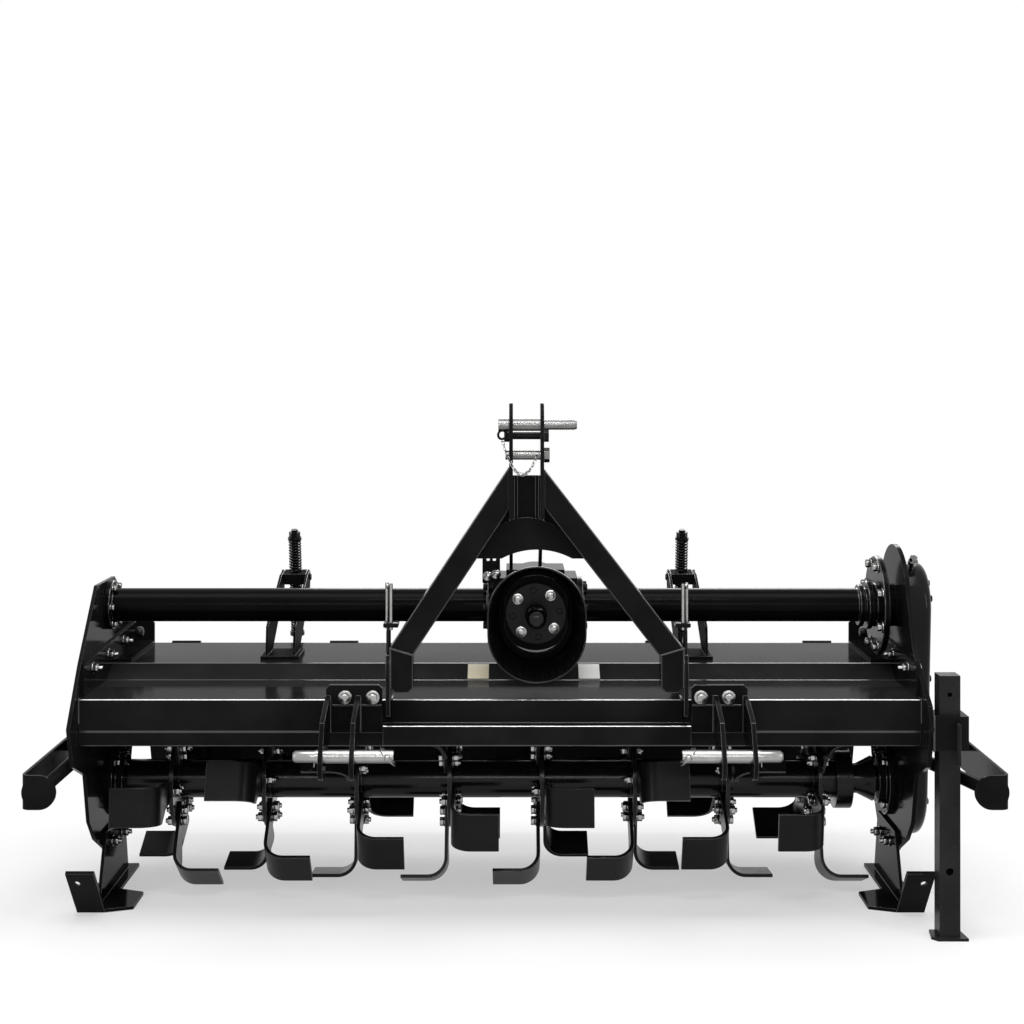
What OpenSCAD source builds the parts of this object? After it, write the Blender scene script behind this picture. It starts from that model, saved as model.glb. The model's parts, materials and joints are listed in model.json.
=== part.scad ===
// Rotary tiller for a three-point hitch, driven by the tractor's power take-off.
// +X is the machine's drive side, +Y its rear, +Z up. Y = 0 is the cross tube's axis, Z = 0 the floor.

/* [Frame] */
// Clear width between the two side plates
work_w = 1803; // [1500:1:2100]
// Thickness of the left side plate
plate_l_t = 8; // [5:0.5:12]
// Thickness of the right side plate, which carries the drive case
plate_r_t = 10; // [6:0.5:14]
// Reach of the side plates ahead of the front beam
plate_nose = 70; // [40:1:90]
// Radius of each side plate's lower lobe round the rotor bearing
lobe_r = 168; // [140:1:180]
// Radius of the right side plate round the cross tube
rim_r = 139; // [130:1:150]
// Thickness of the folded hood sheet
hood_t = 6; // [4:0.5:10]
// Height of the deck, the flat rear part of the hood
deck_z = 525; // [515:1:545]
// Height of the step from the front ledge up to the deck
deck_step = 29; // [15:1:33]
// Rear edge of the deck, behind the cross tube
deck_rear = 290; // [270:1:294]
// Width of the corner angle's foot on the deck
corner_w = 46; // [35:1:60]
// Height of the corner angle above the deck
corner_h = 58; // [40:1:59]
// Thickness of the corner angle
corner_t = 6; // [4:0.5:8]
// Front end of the corner angle ahead of the cross tube
corner_front = 250; // [200:1:265]

/* [Front beam] */
// Distance of the beam's front face ahead of the cross tube
beam_front = 280; // [270:1:300]
// Depth of the beam, front to back
beam_depth = 145; // [120:1:150]
// Height of the beam's upper front face
beam_face = 69; // [55:1:80]
// Height of the beam's inclined lower face
beam_lip = 33; // [20:1:35]
// Wall of the folded beam
beam_wall = 6; // [4:0.5:10]
// Half length of the angle bar welded on the beam's front
angle_half = 328; // [250:1:345]
// Reach of the angle bar ahead of the beam
angle_out = 30; // [20:1:38]
// Height of the angle bar
angle_h = 43; // [30:1:50]
// Wall of the angle bar
angle_t = 6; // [4:0.5:8]

/* [Cross tube and gearbox] */
// Outer diameter of the cross tube
tube_d = 76; // [60:1:90]
// Wall of the cross tube
tube_wall = 8; // [5:0.5:12]
// Height of the cross tube's axis
tube_z = 660; // [650:1:690]
// Diameter of the bolted flange at each tube end
tube_flange_d = 128; // [110:1:140]
// Thickness of that flange
tube_flange_t = 14; // [8:1:20]
// Radius of the round bearing flange on the right side plate
hub_flange_r = 112; // [100:1:120]
// Distance of the hub flange's inner face from the right side plate
hub_depth = 43; // [30:1:50]
// Width of the gearbox between the two tube flanges
gearbox_w = 190; // [180:1:210]
// Radius of the gearbox barrel round the input shaft
gearbox_r = 88; // [80:1:89]
// Distance of the gearbox front face ahead of the cross tube
gearbox_front = 128; // [110:1:135]
// Diameter of the bearing cover on the gearbox front
cover_d = 137; // [120:1:145]
// Thickness of the bearing cover
cover_t = 12; // [8:1:16]
// Diameter of the input shaft
pto_d = 35; // [30:0.5:38]
// Length of the input shaft ahead of the bearing cover
pto_len = 84; // [70:1:110]
// Length of the push-on cap over the input shaft
cap_len = 74; // [50:1:80]
// Width of the drive shaft guard's rim
guard_rim_w = 211; // [190:1:230]
// Extra height of the guard's rim over its width
guard_rim_extra = 37; // [20:1:60]
// Depth of the guard ahead of the bearing cover
guard_depth = 168; // [120:1:180]
// Wall of the guard
guard_wall = 3; // [2:0.5:5]

/* [Side drive case] */
// Thickness of the drive case outside the right side plate
case_d = 58; // [45:1:70]
// Radius of the case round the cross tube
case_top_r = 98; // [90:1:135]
// Radius of the case round the rotor
case_low_r = 125; // [110:1:135]
// Rounding of the case's outer edge
case_round = 18; // [8:1:24]

/* [Rotor] */
// Position of the rotor axis behind the cross tube
rotor_y = 60; // [54:1:66]
// Height of the rotor axis
rotor_z = 247; // [244:1:250]
// Radius swept by the tine tips
tip_r = 238; // [225:1:239]
// Diameter of the rotor tube
rotor_tube_d = 88; // [76:1:95]
// Diameter of the stub shafts at the rotor's ends
stub_d = 60; // [45:1:66]
// Distance of the bolted joint from the right bearing
joint_in = 72; // [60:1:90]
// Thickness of the bolted joint's two flanges
joint_t = 38; // [20:1:44]
// Diameter of the bolted joint's flanges
joint_d = 136; // [110:1:150]
// Length of the cone before the right bearing
cone_len = 36; // [24:1:44]
// Radius of the tine flanges
flange_r = 110; // [100:1:120]
// Thickness of the tine flanges
flange_t = 10; // [6:0.5:14]
// Number of tine flanges
flange_n = 8; // [4:1:8]
// Distance of the first flange from the left side plate
flange_in_l = 152; // [145:1:175]
// Distance of the last flange from the right side plate
flange_in_r = 174; // [165:1:190]
// Sideways reach of a tine from its flange
tine_reach = 108; // [90:1:112]
// Thickness of the tine steel
tine_t = 8; // [6:0.5:10]
// Width of a tine's shank
shank_w = 62; // [50:1:66]
// Width of a tine's blade
blade_w = 86; // [70:1:95]
// Outer radius of a tine's bend
bend_r = 46; // [35:1:60]
// Angle by which the blade's leading edge stands out past its heel
blade_rake = 9; // [4:1:14]
// Turn of the tines from one flange to the next
flange_turn = 15; // [5:1:30]
// Projection of the rotor bearing housings from the side plates
bearing_len = 30; // [20:1:34]
// Radius of the rotor bearing housings
bearing_r = 56; // [48:1:64]

/* [Hitch] */
// Offset of the hitch from the middle of the working width
hitch_offset = 78.5; // [40:0.5:100]
// Distance between the two lower hitch points
hitch_span = 825; // [800:1:840]
// Diameter of the lower hitch pins
hitch_pin_d = 28; // [22:0.5:30]
// Diameter of the pins' outer ends
hitch_tip_d = 25; // [20:0.5:28]
// Height of the lower hitch pins
hitch_pin_z = 410; // [400:1:420]
// Distance of the lower hitch pins ahead of the cross tube
hitch_pin_y = 430; // [420:1:440]
// Distance between the middles of a clevis's two ears
ear_pitch = 64; // [55:1:75]
// Thickness of a clevis ear
ear_t = 10; // [8:0.5:12]
// Radius of a clevis ear's lower end
ear_r = 32; // [26:1:36]
// Width of the clevis's back plate
clevis_w = 120; // [105:1:121]
// Length of a lower pin outside its outer ear
pin_out = 52; // [40:1:70]
// Length of a lower pin inside its inner ear
pin_in = 80; // [50:1:90]

/* [A-frame] */
// Width of the square A-frame legs
leg_w = 50; // [40:1:56]
// Wall of the legs
leg_wall = 5; // [3:0.5:8]
// Distance of the foot lugs' inner faces from the hitch centre
leg_foot_half = 310; // [295:1:325]
// Height at which a leg's axis meets its foot lug
leg_foot_z = 571; // [560:1:580]
// Height at which a leg's axis meets the mast
leg_top_z = 951; // [930:1:960]
// Distance of the legs' axis ahead of the cross tube
leg_y = 295; // [285:1:305]
// Offset of the mast from the hitch centre
mast_offset = -22; // [-30:1:0]
// Distance between the middles of the two mast plates
mast_pitch = 66; // [60:1:80]
// Thickness of the mast plates
mast_t = 8; // [6:0.5:12]
// Height of the mast's top
mast_z = 1131; // [1115:1:1160]
// Height of the top link pin
top_pin_z = 1084; // [1076:1:1090]
// Diameter of the top link pin
top_pin_d = 25.4; // [19:0.1:26]
// Height of the mast's middle bolt
mid_bolt_z = 1060; // [1052:1:1064]
// Height of the mast's lower pin
low_pin_z = 1020; // [1005:1:1026]
// Lower edge of the web between the mast plates
web_low = 870; // [850:1:890]
// Height of the web between the mast plates
web_h = 106; // [80:1:120]
// Thickness of the gusset plate between the legs
gusset_t = 8; // [5:0.5:12]
// Thickness of the lug plates at the leg's feet
foot_lug_t = 10; // [6:0.5:14]

/* [Tailgate] */
// Distance of the tailgate hinge behind the cross tube
hinge_y = 312; // [308:1:318]
// Height of the tailgate hinge
hinge_z = 514; // [508:1:516]
// Diameter of the hinge rod
hinge_d = 16; // [12:0.5:18]
// Outer diameter of the hinge barrels
barrel_d = 26; // [23:0.5:30]
// Number of hinge barrels
barrel_n = 5; // [3:1:8]
// Length of a hinge barrel
barrel_len = 70; // [40:1:110]
// Thickness of the tailgate sheet
gate_t = 5; // [3:0.5:8]
// Reach of the tailgate's lower lip behind the cross tube
gate_reach = 455; // [440:1:475]
// Height of the tailgate's lower edge
gate_low = 150; // [130:1:180]
// Gap between the tailgate and each side plate
gate_gap = 8; // [5:1:15]

/* [Spring rods] */
// Position of the left rod from the left side plate
rod_in_l = 386; // [350:1:420]
// Position of the right rod from the right side plate
rod_in_r = 453; // [420:1:500]
// Diameter of the rods
rod_d = 16; // [12:0.5:18]
// Distance of the rod's pivot block behind the cross tube
pivot_y = 350; // [345:1:358]
// Height of the rod's pivot block
pivot_z = 680; // [670:1:690]
// Distance of the tailgate's rod pin behind the cross tube
rod_pin_y = 412; // [408:1:418]
// Height of the tailgate's rod pin
rod_pin_z = 400; // [390:1:410]
// Diameter of the tailgate's rod pin
rod_pin_d = 12; // [10:0.5:13]
// Width of the pivot block
pivot_w = 56; // [46:1:62]
// Height of the pivot block
pivot_h = 28; // [22:1:34]
// Length of the upper spring
spring_up = 84; // [70:1:100]
// Length of the lower spring
spring_low = 130; // [118:1:140]
// Outer diameter of the springs
spring_d = 32; // [28:0.5:36]
// Wire of the springs
spring_wire = 4.5; // [3:0.5:5]
// Pitch of the springs' turns
spring_pitch = 8; // [7:0.5:12]
// Thickness of the fork plates
fork_t = 6; // [4:0.5:8]

/* [Parking stand] */
// Width of the stand's square leg
stand_w = 44; // [36:1:48]
// Wall of the stand's leg
stand_wall = 4; // [3:0.5:6]
// Height of the stand
stand_h = 557; // [530:1:600]
// Distance of the stand ahead of the cross tube
stand_y = 310; // [304:1:316]
// Gap between the leg and its sleeve
stand_gap = 0.4; // [0.3:0.1:1.5]
// Wall of the stand's sleeve
sleeve_wall = 14; // [10:1:16]
// Lower edge of the sleeve
sleeve_z = 402; // [395:1:410]
// Height of the sleeve
sleeve_h = 72; // [60:1:80]
// Thickness of the stand's foot plate
foot_t = 6; // [4:0.5:10]

/* [Skids and side guards] */
// Thickness of the skid steel
skid_t = 8; // [6:0.5:8]
// Width of the skid's runner
runner_w = 62; // [50:1:70]
// Width of the skid's inner foot
skid_foot_w = 120; // [100:1:130]
// Front end of the flat sole ahead of the cross tube
sole_front = 150; // [130:1:170]
// Rear end of the flat sole behind the cross tube
sole_rear = 200; // [170:1:230]
// Height of the skid's turned-up nose
nose_z = 116; // [90:1:140]
// Gap from the left side plate to the guard's outer face
guard_gap_l = 90; // [70:1:120]
// Gap from the drive case to the guard's outer face
guard_gap_r = 95; // [75:1:120]
// Height of the guard strap
strap_h = 72; // [50:1:73]
// Thickness of the guard strap
strap_t = 6; // [4:0.5:8]
// Height of the guard strap's middle
strap_z = 320; // [312:1:324]
// Front end of the guard strap ahead of the cross tube
strap_front = 370; // [360:1:380]
// Rear end of the guard strap behind the cross tube
strap_rear = 200; // [160:1:240]
// Diameter of the guard's stay tubes
stay_d = 28; // [20:1:30]

/* [Hidden] */
$fn = 64;

black_paint = "#1c1c1e";
satin_black = "#26272a";
zinc = "#c9ccd0";
rubber = "#121212";

// Running gap of a turning shaft in its seat, and loose fit of a pin in its hole
run_gap = 0.3;
pin_gap = 0.2;
// Overshoot of a cutting tool
cut = 1;

// Side plate faces, from the width over the guards, which is centred on X = 0
overall_w = guard_gap_l + plate_l_t + work_w + plate_r_t + case_d + guard_gap_r;
x_li = -overall_w / 2 + guard_gap_l + plate_l_t;
x_lo = x_li - plate_l_t;
x_ri = x_li + work_w;
x_ro = x_ri + plate_r_t;
x_case = x_ro + case_d;
x_hitch = (x_li + x_ri) / 2 + hitch_offset;
x_mast = x_hitch + mast_offset;
x_guard = overall_w / 2;

// Hood and beam heights
ledge_z = deck_z - deck_step;
beam_top = ledge_z + 1;
beam_back = beam_front - beam_depth;
beam_bend_z = beam_top - beam_face;
beam_low = beam_bend_z - beam_lip;
beam_lip_in = 8;
step_front = 49;
step_rear = 5;
angle_top = beam_bend_z + 19;

// Rotor places
flange_x0 = x_li + flange_in_l;
flange_pitch = (work_w - flange_in_l - flange_in_r) / (flange_n - 1);
bearing_bore_d = stub_d + 2 * run_gap;
bearing_flange_t = 12;
bearing_flange_r = bearing_r + 26;
plate_bore_d = bearing_bore_d + 20;

// Side plate outline: rear edge at the hinge, points round the rotor's axis, and the nose
rotor_at = [rotor_y, rotor_z];
plate_rear = hinge_y + 20;
plate_rear_top = hinge_z + 34;
plate_rear_low = hinge_z - 26;
lobe_points = [[240, 175], [129, -108], [-100, -135], [-185, -92], [-239, -39], [-272, 71]];
nose_low = [32 - beam_front - plate_nose, rotor_z + 113];
nose_tip = [-beam_front - plate_nose, angle_top];

// Spring rod line, from the tailgate's pin up to the pivot block
rod_lean = atan2(rod_pin_y - pivot_y, pivot_z - rod_pin_z);
rod_span = norm([rod_pin_y - pivot_y, pivot_z - rod_pin_z]);
rod_xs = [x_li + rod_in_l, x_ri - rod_in_r];
nut_h = 20;

// Corners round a spring's wire, and steps in one of its turns
wire_sides = 5;
turn_steps = 10;

// A prism of an outline drawn in Y and Z, from one X to another
module prism_x(x0, x1) {
    translate([x0, 0, 0]) rotate([90, 0, 90]) linear_extrude(height = x1 - x0) children();
}

// A prism of an outline drawn in X and Z, from one Y to another
module prism_y(y0, y1) {
    translate([0, y1, 0]) rotate([90, 0, 0]) linear_extrude(height = y1 - y0) children();
}

// A round bar along X at a given Y and Z
module bar_x(x0, x1, y, z, d) {
    translate([x0, y, z]) rotate([0, 90, 0]) cylinder(h = x1 - x0, d = d);
}

// A round bar along Y at a given X and Z
module bar_y(y0, y1, x, z, d) {
    translate([x, y1, z]) rotate([90, 0, 0]) cylinder(h = y1 - y0, d = d);
}

// Stands what is drawn up +Z at point p and leans it towards point q
module towards(p, q) {
    v = q - p;
    translate(p) rotate([0, acos(v.z / norm(v)), atan2(v.y, v.x)]) children();
}

// A box given by two opposite corners
module box(low, high) {
    translate(low) cube(high - low);
}

// Folded hood sheet over the rotor: front ledge, inclined step and deck
module hood() {
    fold = hood_t * tan(atan2(deck_step, step_front + step_rear) / 2);
    color(black_paint) prism_x(x_li, x_ri) polygon([
        [-beam_back, ledge_z - hood_t], [-beam_back, ledge_z], [-step_front, ledge_z],
        [step_rear, deck_z], [deck_rear, deck_z], [deck_rear, deck_z - hood_t],
        [step_rear + fold, deck_z - hood_t], [fold - step_front, ledge_z - hood_t]
    ]);
}

// Closed folded beam along the front, with an inclined lower face
module front_beam() {
    lean = atan2(beam_lip_in, beam_lip);
    low_in = beam_wall * tan((90 - lean) / 2);
    bend_in = beam_wall * tan(lean / 2);
    color(black_paint) difference() {
        prism_x(x_li, x_ri) polygon([
            [-beam_back, beam_low], [beam_lip_in - beam_front, beam_low], [-beam_front, beam_bend_z],
            [-beam_front, beam_top], [-beam_back, beam_top]
        ]);
        prism_x(x_li - cut, x_ri + cut) polygon([
            [-beam_back - beam_wall, beam_low + beam_wall],
            [beam_lip_in - beam_front + low_in, beam_low + beam_wall],
            [beam_wall - beam_front, beam_bend_z + bend_in],
            [beam_wall - beam_front, beam_top - beam_wall],
            [-beam_back - beam_wall, beam_top - beam_wall]
        ]);
    }
}

// Angle bar welded on the beam's front between the two hitch brackets
module beam_angle() {
    nose = -beam_front - angle_out;
    low = angle_top - angle_h;
    color(black_paint) prism_x(x_hitch - angle_half, x_hitch + angle_half) polygon([
        [-beam_front, angle_top], [nose, angle_top], [nose, low], [nose + angle_t, low],
        [nose + angle_t, angle_top - angle_t], [-beam_front, angle_top - angle_t]
    ]);
}

// Lower half of a side plate's outline, from the hinge at the rear down round the rotor to the front
function plate_low_edge() = concat(
    [[plate_rear, plate_rear_top], [plate_rear, plate_rear_low]],
    [for (p = lobe_points) rotor_at + p],
    [nose_low, nose_tip]
);

// Holes that both side plates have: rotor shaft and tailgate hinge rod
module plate_holes(x0, x1) {
    bar_x(x0 - cut, x1 + cut, rotor_y, rotor_z, plate_bore_d);
    bar_x(x0 - cut, x1 + cut, hinge_y, hinge_z, hinge_d + pin_gap);
}

// Left side plate, with a flat crown over the cross tube
module side_plate_left() {
    shoulder = [23 - beam_front, beam_top + 68];
    crown_z = tube_z + 58;
    crown_front = -107;
    crown_rear = 60;
    color(black_paint) difference() {
        union() {
            prism_x(x_lo, x_li) polygon(concat(plate_low_edge(), [
                shoulder, [crown_front, crown_z], [crown_rear, crown_z]
            ]));
            bar_x(x_lo, x_li, rotor_y, rotor_z, 2 * lobe_r);
        }
        plate_holes(x_lo, x_li);
    }
}

// Right side plate, which runs out in a round rim over the cross tube
module side_plate_right() {
    front_edge = [
        [16 - beam_front - plate_nose, beam_top - 4], [61 - beam_front, beam_top + 67],
        [91 - beam_front, beam_top + 98]
    ];
    rim_front = 34;
    rim_rear = 40;
    color(black_paint) difference() {
        union() {
            prism_x(x_ri, x_ro) polygon(concat(plate_low_edge(), front_edge, [
                [-rim_r * cos(rim_front), tube_z + rim_r * sin(rim_front)],
                [rim_r * cos(rim_rear), tube_z + rim_r * sin(rim_rear)]
            ]));
            bar_x(x_ri, x_ro, 0, tube_z, 2 * rim_r);
            bar_x(x_ri, x_ro, rotor_y, rotor_z, 2 * lobe_r);
        }
        plate_holes(x_ri, x_ro);
    }
}

// Corner angle along a side plate: an upright leg, a foot on the deck and an end plate at the rear;
// side is -1 on the left and 1 on the right
module corner_bracket(side) {
    wall_x = side < 0 ? x_li : x_ri;
    leg_x = wall_x - side * corner_t;
    foot_x = wall_x - side * corner_w;
    foot_front = step_rear + 20;
    top = deck_z + corner_h;
    fall = 16;
    chamfer = 8;
    end = deck_rear - corner_t;
    color(black_paint) union() {
        prism_x(min(wall_x, leg_x), max(wall_x, leg_x)) polygon([
            [-corner_front, beam_top], [-beam_back, beam_top], [-beam_back, ledge_z], [-step_front, ledge_z],
            [step_rear, deck_z], [deck_rear, deck_z], [deck_rear, top], [-corner_front, top - fall]
        ]);
        box([min(wall_x, foot_x), foot_front, deck_z], [max(wall_x, foot_x), deck_rear, deck_z + corner_t]);
        prism_y(end, deck_rear) polygon([
            [wall_x, deck_z], [foot_x, deck_z], [foot_x, top - chamfer], [foot_x + side * chamfer, top],
            [wall_x, top]
        ]);
    }
}

module corner_bracket_left() { corner_bracket(-1); }
module corner_bracket_right() { corner_bracket(1); }

// Half of the cross tube with a bolted flange on the gearbox
module cross_tube_left() {
    inner_d = tube_d - 2 * tube_wall;
    gear_x = x_hitch - gearbox_w / 2;
    end_flange_d = tube_flange_d - 16;
    color(black_paint) difference() {
        union() {
            bar_x(x_li, gear_x, 0, tube_z, tube_d);
            bar_x(x_li, x_li + tube_flange_t, 0, tube_z, end_flange_d);
            bar_x(gear_x - tube_flange_t, gear_x, 0, tube_z, tube_flange_d);
        }
        bar_x(x_li - cut, gear_x + cut, 0, tube_z, inner_d);
    }
}

// Other half, stepped up to the round bearing flange on the right side plate
module cross_tube_right() {
    inner_d = tube_d - 2 * tube_wall;
    gear_x = x_hitch + gearbox_w / 2;
    hub_x = x_ri - hub_depth;
    // Rings at the hub: start and end from the flange's inner face, and extra diameter over the tube
    rings = [[-40, -28, 18], [-22, -10, 34], [-10, hub_depth, 22]];
    color(black_paint) difference() {
        union() {
            bar_x(gear_x, x_ri, 0, tube_z, tube_d);
            bar_x(gear_x, gear_x + tube_flange_t, 0, tube_z, tube_flange_d);
            for (ring = rings) bar_x(hub_x + ring[0], hub_x + ring[1], 0, tube_z, tube_d + ring[2]);
            bar_x(hub_x, hub_x + tube_flange_t, 0, tube_z, 2 * hub_flange_r);
        }
        bar_x(gear_x - cut, x_ri + cut, 0, tube_z, inner_d);
    }
}

// Cast right-angle gearbox with a flat top and a round bearing cover at the front
module gearbox() {
    body_len = gearbox_front - 28;
    end_d = 2 * gearbox_r - 10;
    half_w = gearbox_w / 2;
    side_half = 70;
    lid_x = 66;
    lid_y = 62;
    lid_low = tube_z + 60;
    lid_top = tube_z + gearbox_r;
    rear_cover_d = cover_d - 20;
    bore_in = 20;
    color(black_paint) difference() {
        union() {
            bar_y(-gearbox_front, gearbox_front, x_hitch, tube_z, end_d);
            bar_y(-body_len, body_len, x_hitch, tube_z, 2 * gearbox_r);
            box([x_hitch - half_w, -side_half, tube_z - side_half],
                [x_hitch + half_w, side_half, tube_z + side_half]);
            box([x_hitch - lid_x, -lid_y, lid_low], [x_hitch + lid_x, lid_y, lid_top]);
            bar_y(-gearbox_front - cover_t, -gearbox_front, x_hitch, tube_z, cover_d);
            bar_y(gearbox_front, gearbox_front + cover_t, x_hitch, tube_z, rear_cover_d);
        }
        bar_y(-gearbox_front - cover_t - cut, bore_in - gearbox_front, x_hitch, tube_z, pto_d + 2 * run_gap);
    }
}

// Dished guard round the input shaft: a ring on the gearbox, a short neck and a flared obround rim
module shaft_guard() {
    seat_r = cover_d / 2 + run_gap;
    neck_r = seat_r + 14;
    mouth_r = guard_rim_w / 2;
    half = guard_rim_extra / 2;
    back = gearbox_front;
    neck_y = back + 34;
    front = gearbox_front + cover_t + guard_depth;
    lip_y = front - 12;
    wall = [
        [seat_r, back], [neck_r, back], [neck_r + guard_wall, neck_y], [mouth_r, lip_y], [mouth_r, front],
        [mouth_r - guard_wall, front], [mouth_r - guard_wall, lip_y], [neck_r, neck_y],
        [neck_r - guard_wall, back + guard_wall], [seat_r, back + guard_wall]
    ];
    color(black_paint) translate([x_hitch, 0, tube_z]) rotate([90, 0, 0]) {
        for (turn = [0, 180]) rotate([0, 0, turn]) {
            translate([0, half, 0]) rotate_extrude(angle = 180) polygon(wall);
            translate([0, half, 0]) rotate([90, 0, 0]) linear_extrude(height = 2 * half) polygon(wall);
        }
    }
}

// Splined input shaft, seated in the gearbox
module pto_shaft() {
    face = gearbox_front + cover_t;
    seat_len = 18;
    plain_len = 10;
    spline_n = 6;
    groove_w = 7;
    groove_depth = 2.5;
    color(zinc) difference() {
        bar_y(-face - pto_len, seat_len - gearbox_front, x_hitch, tube_z, pto_d);
        for (i = [0:spline_n - 1])
            translate([x_hitch, -face - pto_len - cut, tube_z]) rotate([0, (i + 0.5) * 360 / spline_n, 0])
                translate([-groove_w / 2, 0, pto_d / 2 - groove_depth])
                    cube([groove_w, pto_len - plain_len, 2 * groove_depth + cut]);
    }
}

// Black cap pushed over the input shaft for transport
module pto_cap() {
    end_t = 12;
    wall = 4.5;
    lip = 2;
    lip_h = 5;
    // Round end: shares of the radius, and distances back from the tip
    dome = [[0, 0], [0.45, 1], [0.8, 5], [1, 14]];
    end = gearbox_front + cover_t + pto_len;
    tip = end + end_t;
    skirt = tip - cap_len;
    r = pto_d / 2 + wall;
    color(rubber) difference() {
        translate([x_hitch, 0, tube_z]) rotate([90, 0, 0]) rotate_extrude() polygon(concat(
            [for (p = dome) [r * p.x, tip - p.y]],
            [[r, skirt + lip_h + cut], [r + lip, skirt + lip_h], [r + lip, skirt], [0, skirt]]
        ));
        bar_y(-end, cut - skirt, x_hitch, tube_z, pto_d);
    }
}

// One rounded end of the drive case, drawn up +X
module case_end(r) {
    steps = 4;
    middle = [r - case_round, case_d - case_round];
    rotate([0, 90, 0]) rotate_extrude() polygon(concat(
        [[0, 0], [r, 0]],
        [for (i = [0:steps]) middle + case_round * [cos(i * 90 / steps), sin(i * 90 / steps)]],
        [[0, case_d]]
    ));
}

// Pan-shaped cover of the drive chain, from the cross tube down to the rotor
module drive_case() {
    color(black_paint) hull() {
        translate([x_ro, 0, tube_z]) case_end(case_top_r);
        translate([x_ro, rotor_y, rotor_z]) case_end(case_low_r);
    }
}

// Filler plug on the drive case's upper front edge
module case_plug() {
    lean = 28;
    x = x_ro + case_d / 2 - 6;
    seat_gap = 0.1;
    neck_d = 14;
    neck_h = 16;
    collar_d = 22;
    collar_h = 8;
    head_d = 18;
    head_h = 10;
    color(zinc) translate([x, 0, tube_z]) rotate([lean, 0, 0]) {
        translate([0, 0, case_top_r + seat_gap]) cylinder(h = neck_h, d = neck_d);
        translate([0, 0, case_top_r + neck_h]) cylinder(h = collar_h, d = collar_d);
        translate([0, 0, case_top_r + neck_h + collar_h]) cylinder(h = head_h, d = head_d, $fn = 6);
    }
}

// Bearing housing bolted on the inner face of a side plate
module bearing(side) {
    wall_x = side < 0 ? x_li : x_ri;
    color(black_paint) translate([wall_x, rotor_y, rotor_z]) rotate([0, -side * 90, 0]) difference() {
        union() {
            cylinder(h = bearing_len, r = bearing_r);
            cylinder(h = bearing_flange_t, r = bearing_flange_r);
        }
        translate([0, 0, -cut]) cylinder(h = bearing_len + 2 * cut, d = bearing_bore_d);
    }
}

module bearing_left() { bearing(-1); }
module bearing_right() { bearing(1); }

// Rotor tube with its stub shafts, end cones and tine flanges
module rotor_shaft() {
    hub_gap = 8;
    hub_l = x_li + bearing_len + hub_gap;
    hub_r = x_ri - bearing_len - hub_gap;
    joint_x = hub_r - joint_in;
    neck_d = stub_d + 8;
    cone_d = 2 * bearing_r - 8;
    color(satin_black) union() {
        bar_x(x_li, x_ri, rotor_y, rotor_z, stub_d);
        bar_x(hub_l, joint_x, rotor_y, rotor_z, rotor_tube_d);
        bar_x(joint_x - joint_t / 2, joint_x + joint_t / 2, rotor_y, rotor_z, joint_d);
        bar_x(joint_x, hub_r, rotor_y, rotor_z, neck_d);
        translate([hub_r - cone_len, rotor_y, rotor_z]) rotate([0, 90, 0])
            cylinder(h = cone_len, d1 = neck_d, d2 = cone_d);
        for (i = [0:flange_n - 1])
            bar_x(flange_x0 + i * flange_pitch - flange_t / 2, flange_x0 + i * flange_pitch + flange_t / 2,
                rotor_y, rotor_z, 2 * flange_r);
    }
}

// One right-hand tine along +Z: a flat shank, a bend and a blade that reaches along +X
module tine() {
    half = blade_w / 2;
    out_r = sqrt(pow(tip_r, 2) - pow(half * cos(blade_rake), 2)) - half * sin(blade_rake);
    bend_z = out_r - bend_r;
    root_z = rotor_tube_d / 2 + 10;
    root_mid = root_z + shank_w / 2;
    taper = 40;
    wide = half + 8;
    beyond = tip_r + 10;
    intersection() {
        translate([0, 0, out_r]) rotate([-blade_rake, 0, 0]) translate([0, half, -out_r]) rotate([90, 0, 0])
            linear_extrude(height = blade_w) {
                translate([0, root_z - taper]) square([tine_t, bend_z - root_z + taper]);
                intersection() {
                    translate([bend_r, bend_z]) difference() {
                        circle(r = bend_r);
                        circle(r = bend_r - tine_t);
                    }
                    translate([0, bend_z]) square(bend_r);
                }
                translate([bend_r, out_r - tine_t]) square([tine_reach - bend_r, tine_t]);
            }
        prism_x(0, tine_reach) union() {
            translate([0, root_mid]) circle(d = shank_w);
            polygon([
                [-shank_w / 2, root_mid], [shank_w / 2, root_mid], [shank_w / 2, bend_z - taper],
                [wide, bend_z], [wide, beyond], [-wide, beyond], [-wide, bend_z],
                [-shank_w / 2, bend_z - taper]
            ]);
        }
    }
}

// Three tines on one side of every flange; hand is 1 for right-hand tines, -1 for left-hand ones
module tine_set(hand) {
    first = hand < 0 ? 93 : 153;
    tine_n = 3;
    for (i = [0:flange_n - 1], k = [0:tine_n - 1])
        translate([flange_x0 + i * flange_pitch + hand * flange_t / 2, rotor_y, rotor_z])
            rotate([first - flange_turn * i + k * 360 / tine_n, 0, 0])
                mirror([hand < 0 ? 1 : 0, 0, 0]) tine();
}

module tines_right_hand() { color(satin_black) tine_set(1); }
module tines_left_hand() { color(satin_black) tine_set(-1); }

// Middles of a leg's foot and of its upper end on the mast; side is -1 on the left and 1 on the right
mast_out = (mast_pitch + mast_t) / 2;
foot_block = leg_w - 2;
foot_drop = 53;
foot_chamfer = 10;
function leg_foot(side) = [x_hitch + side * leg_foot_half, -leg_y, leg_foot_z];
function leg_top(side) = [x_mast + side * mast_out, -leg_y, leg_top_z];
function leg_slope(side) = (leg_top(side).x - leg_foot(side).x) / (leg_top_z - leg_foot_z);
function leg_half(side, half) = half / cos(atan(leg_slope(side)));
function leg_x(side, z, out) = leg_foot(side).x + leg_slope(side) * (z - leg_foot_z) + side * out;
function leg_z(side, x, out) = leg_foot_z + (x - side * out - leg_foot(side).x) / leg_slope(side);
function leg_inner_x(side, z) = leg_x(side, z, -leg_half(side, leg_w / 2));

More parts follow.
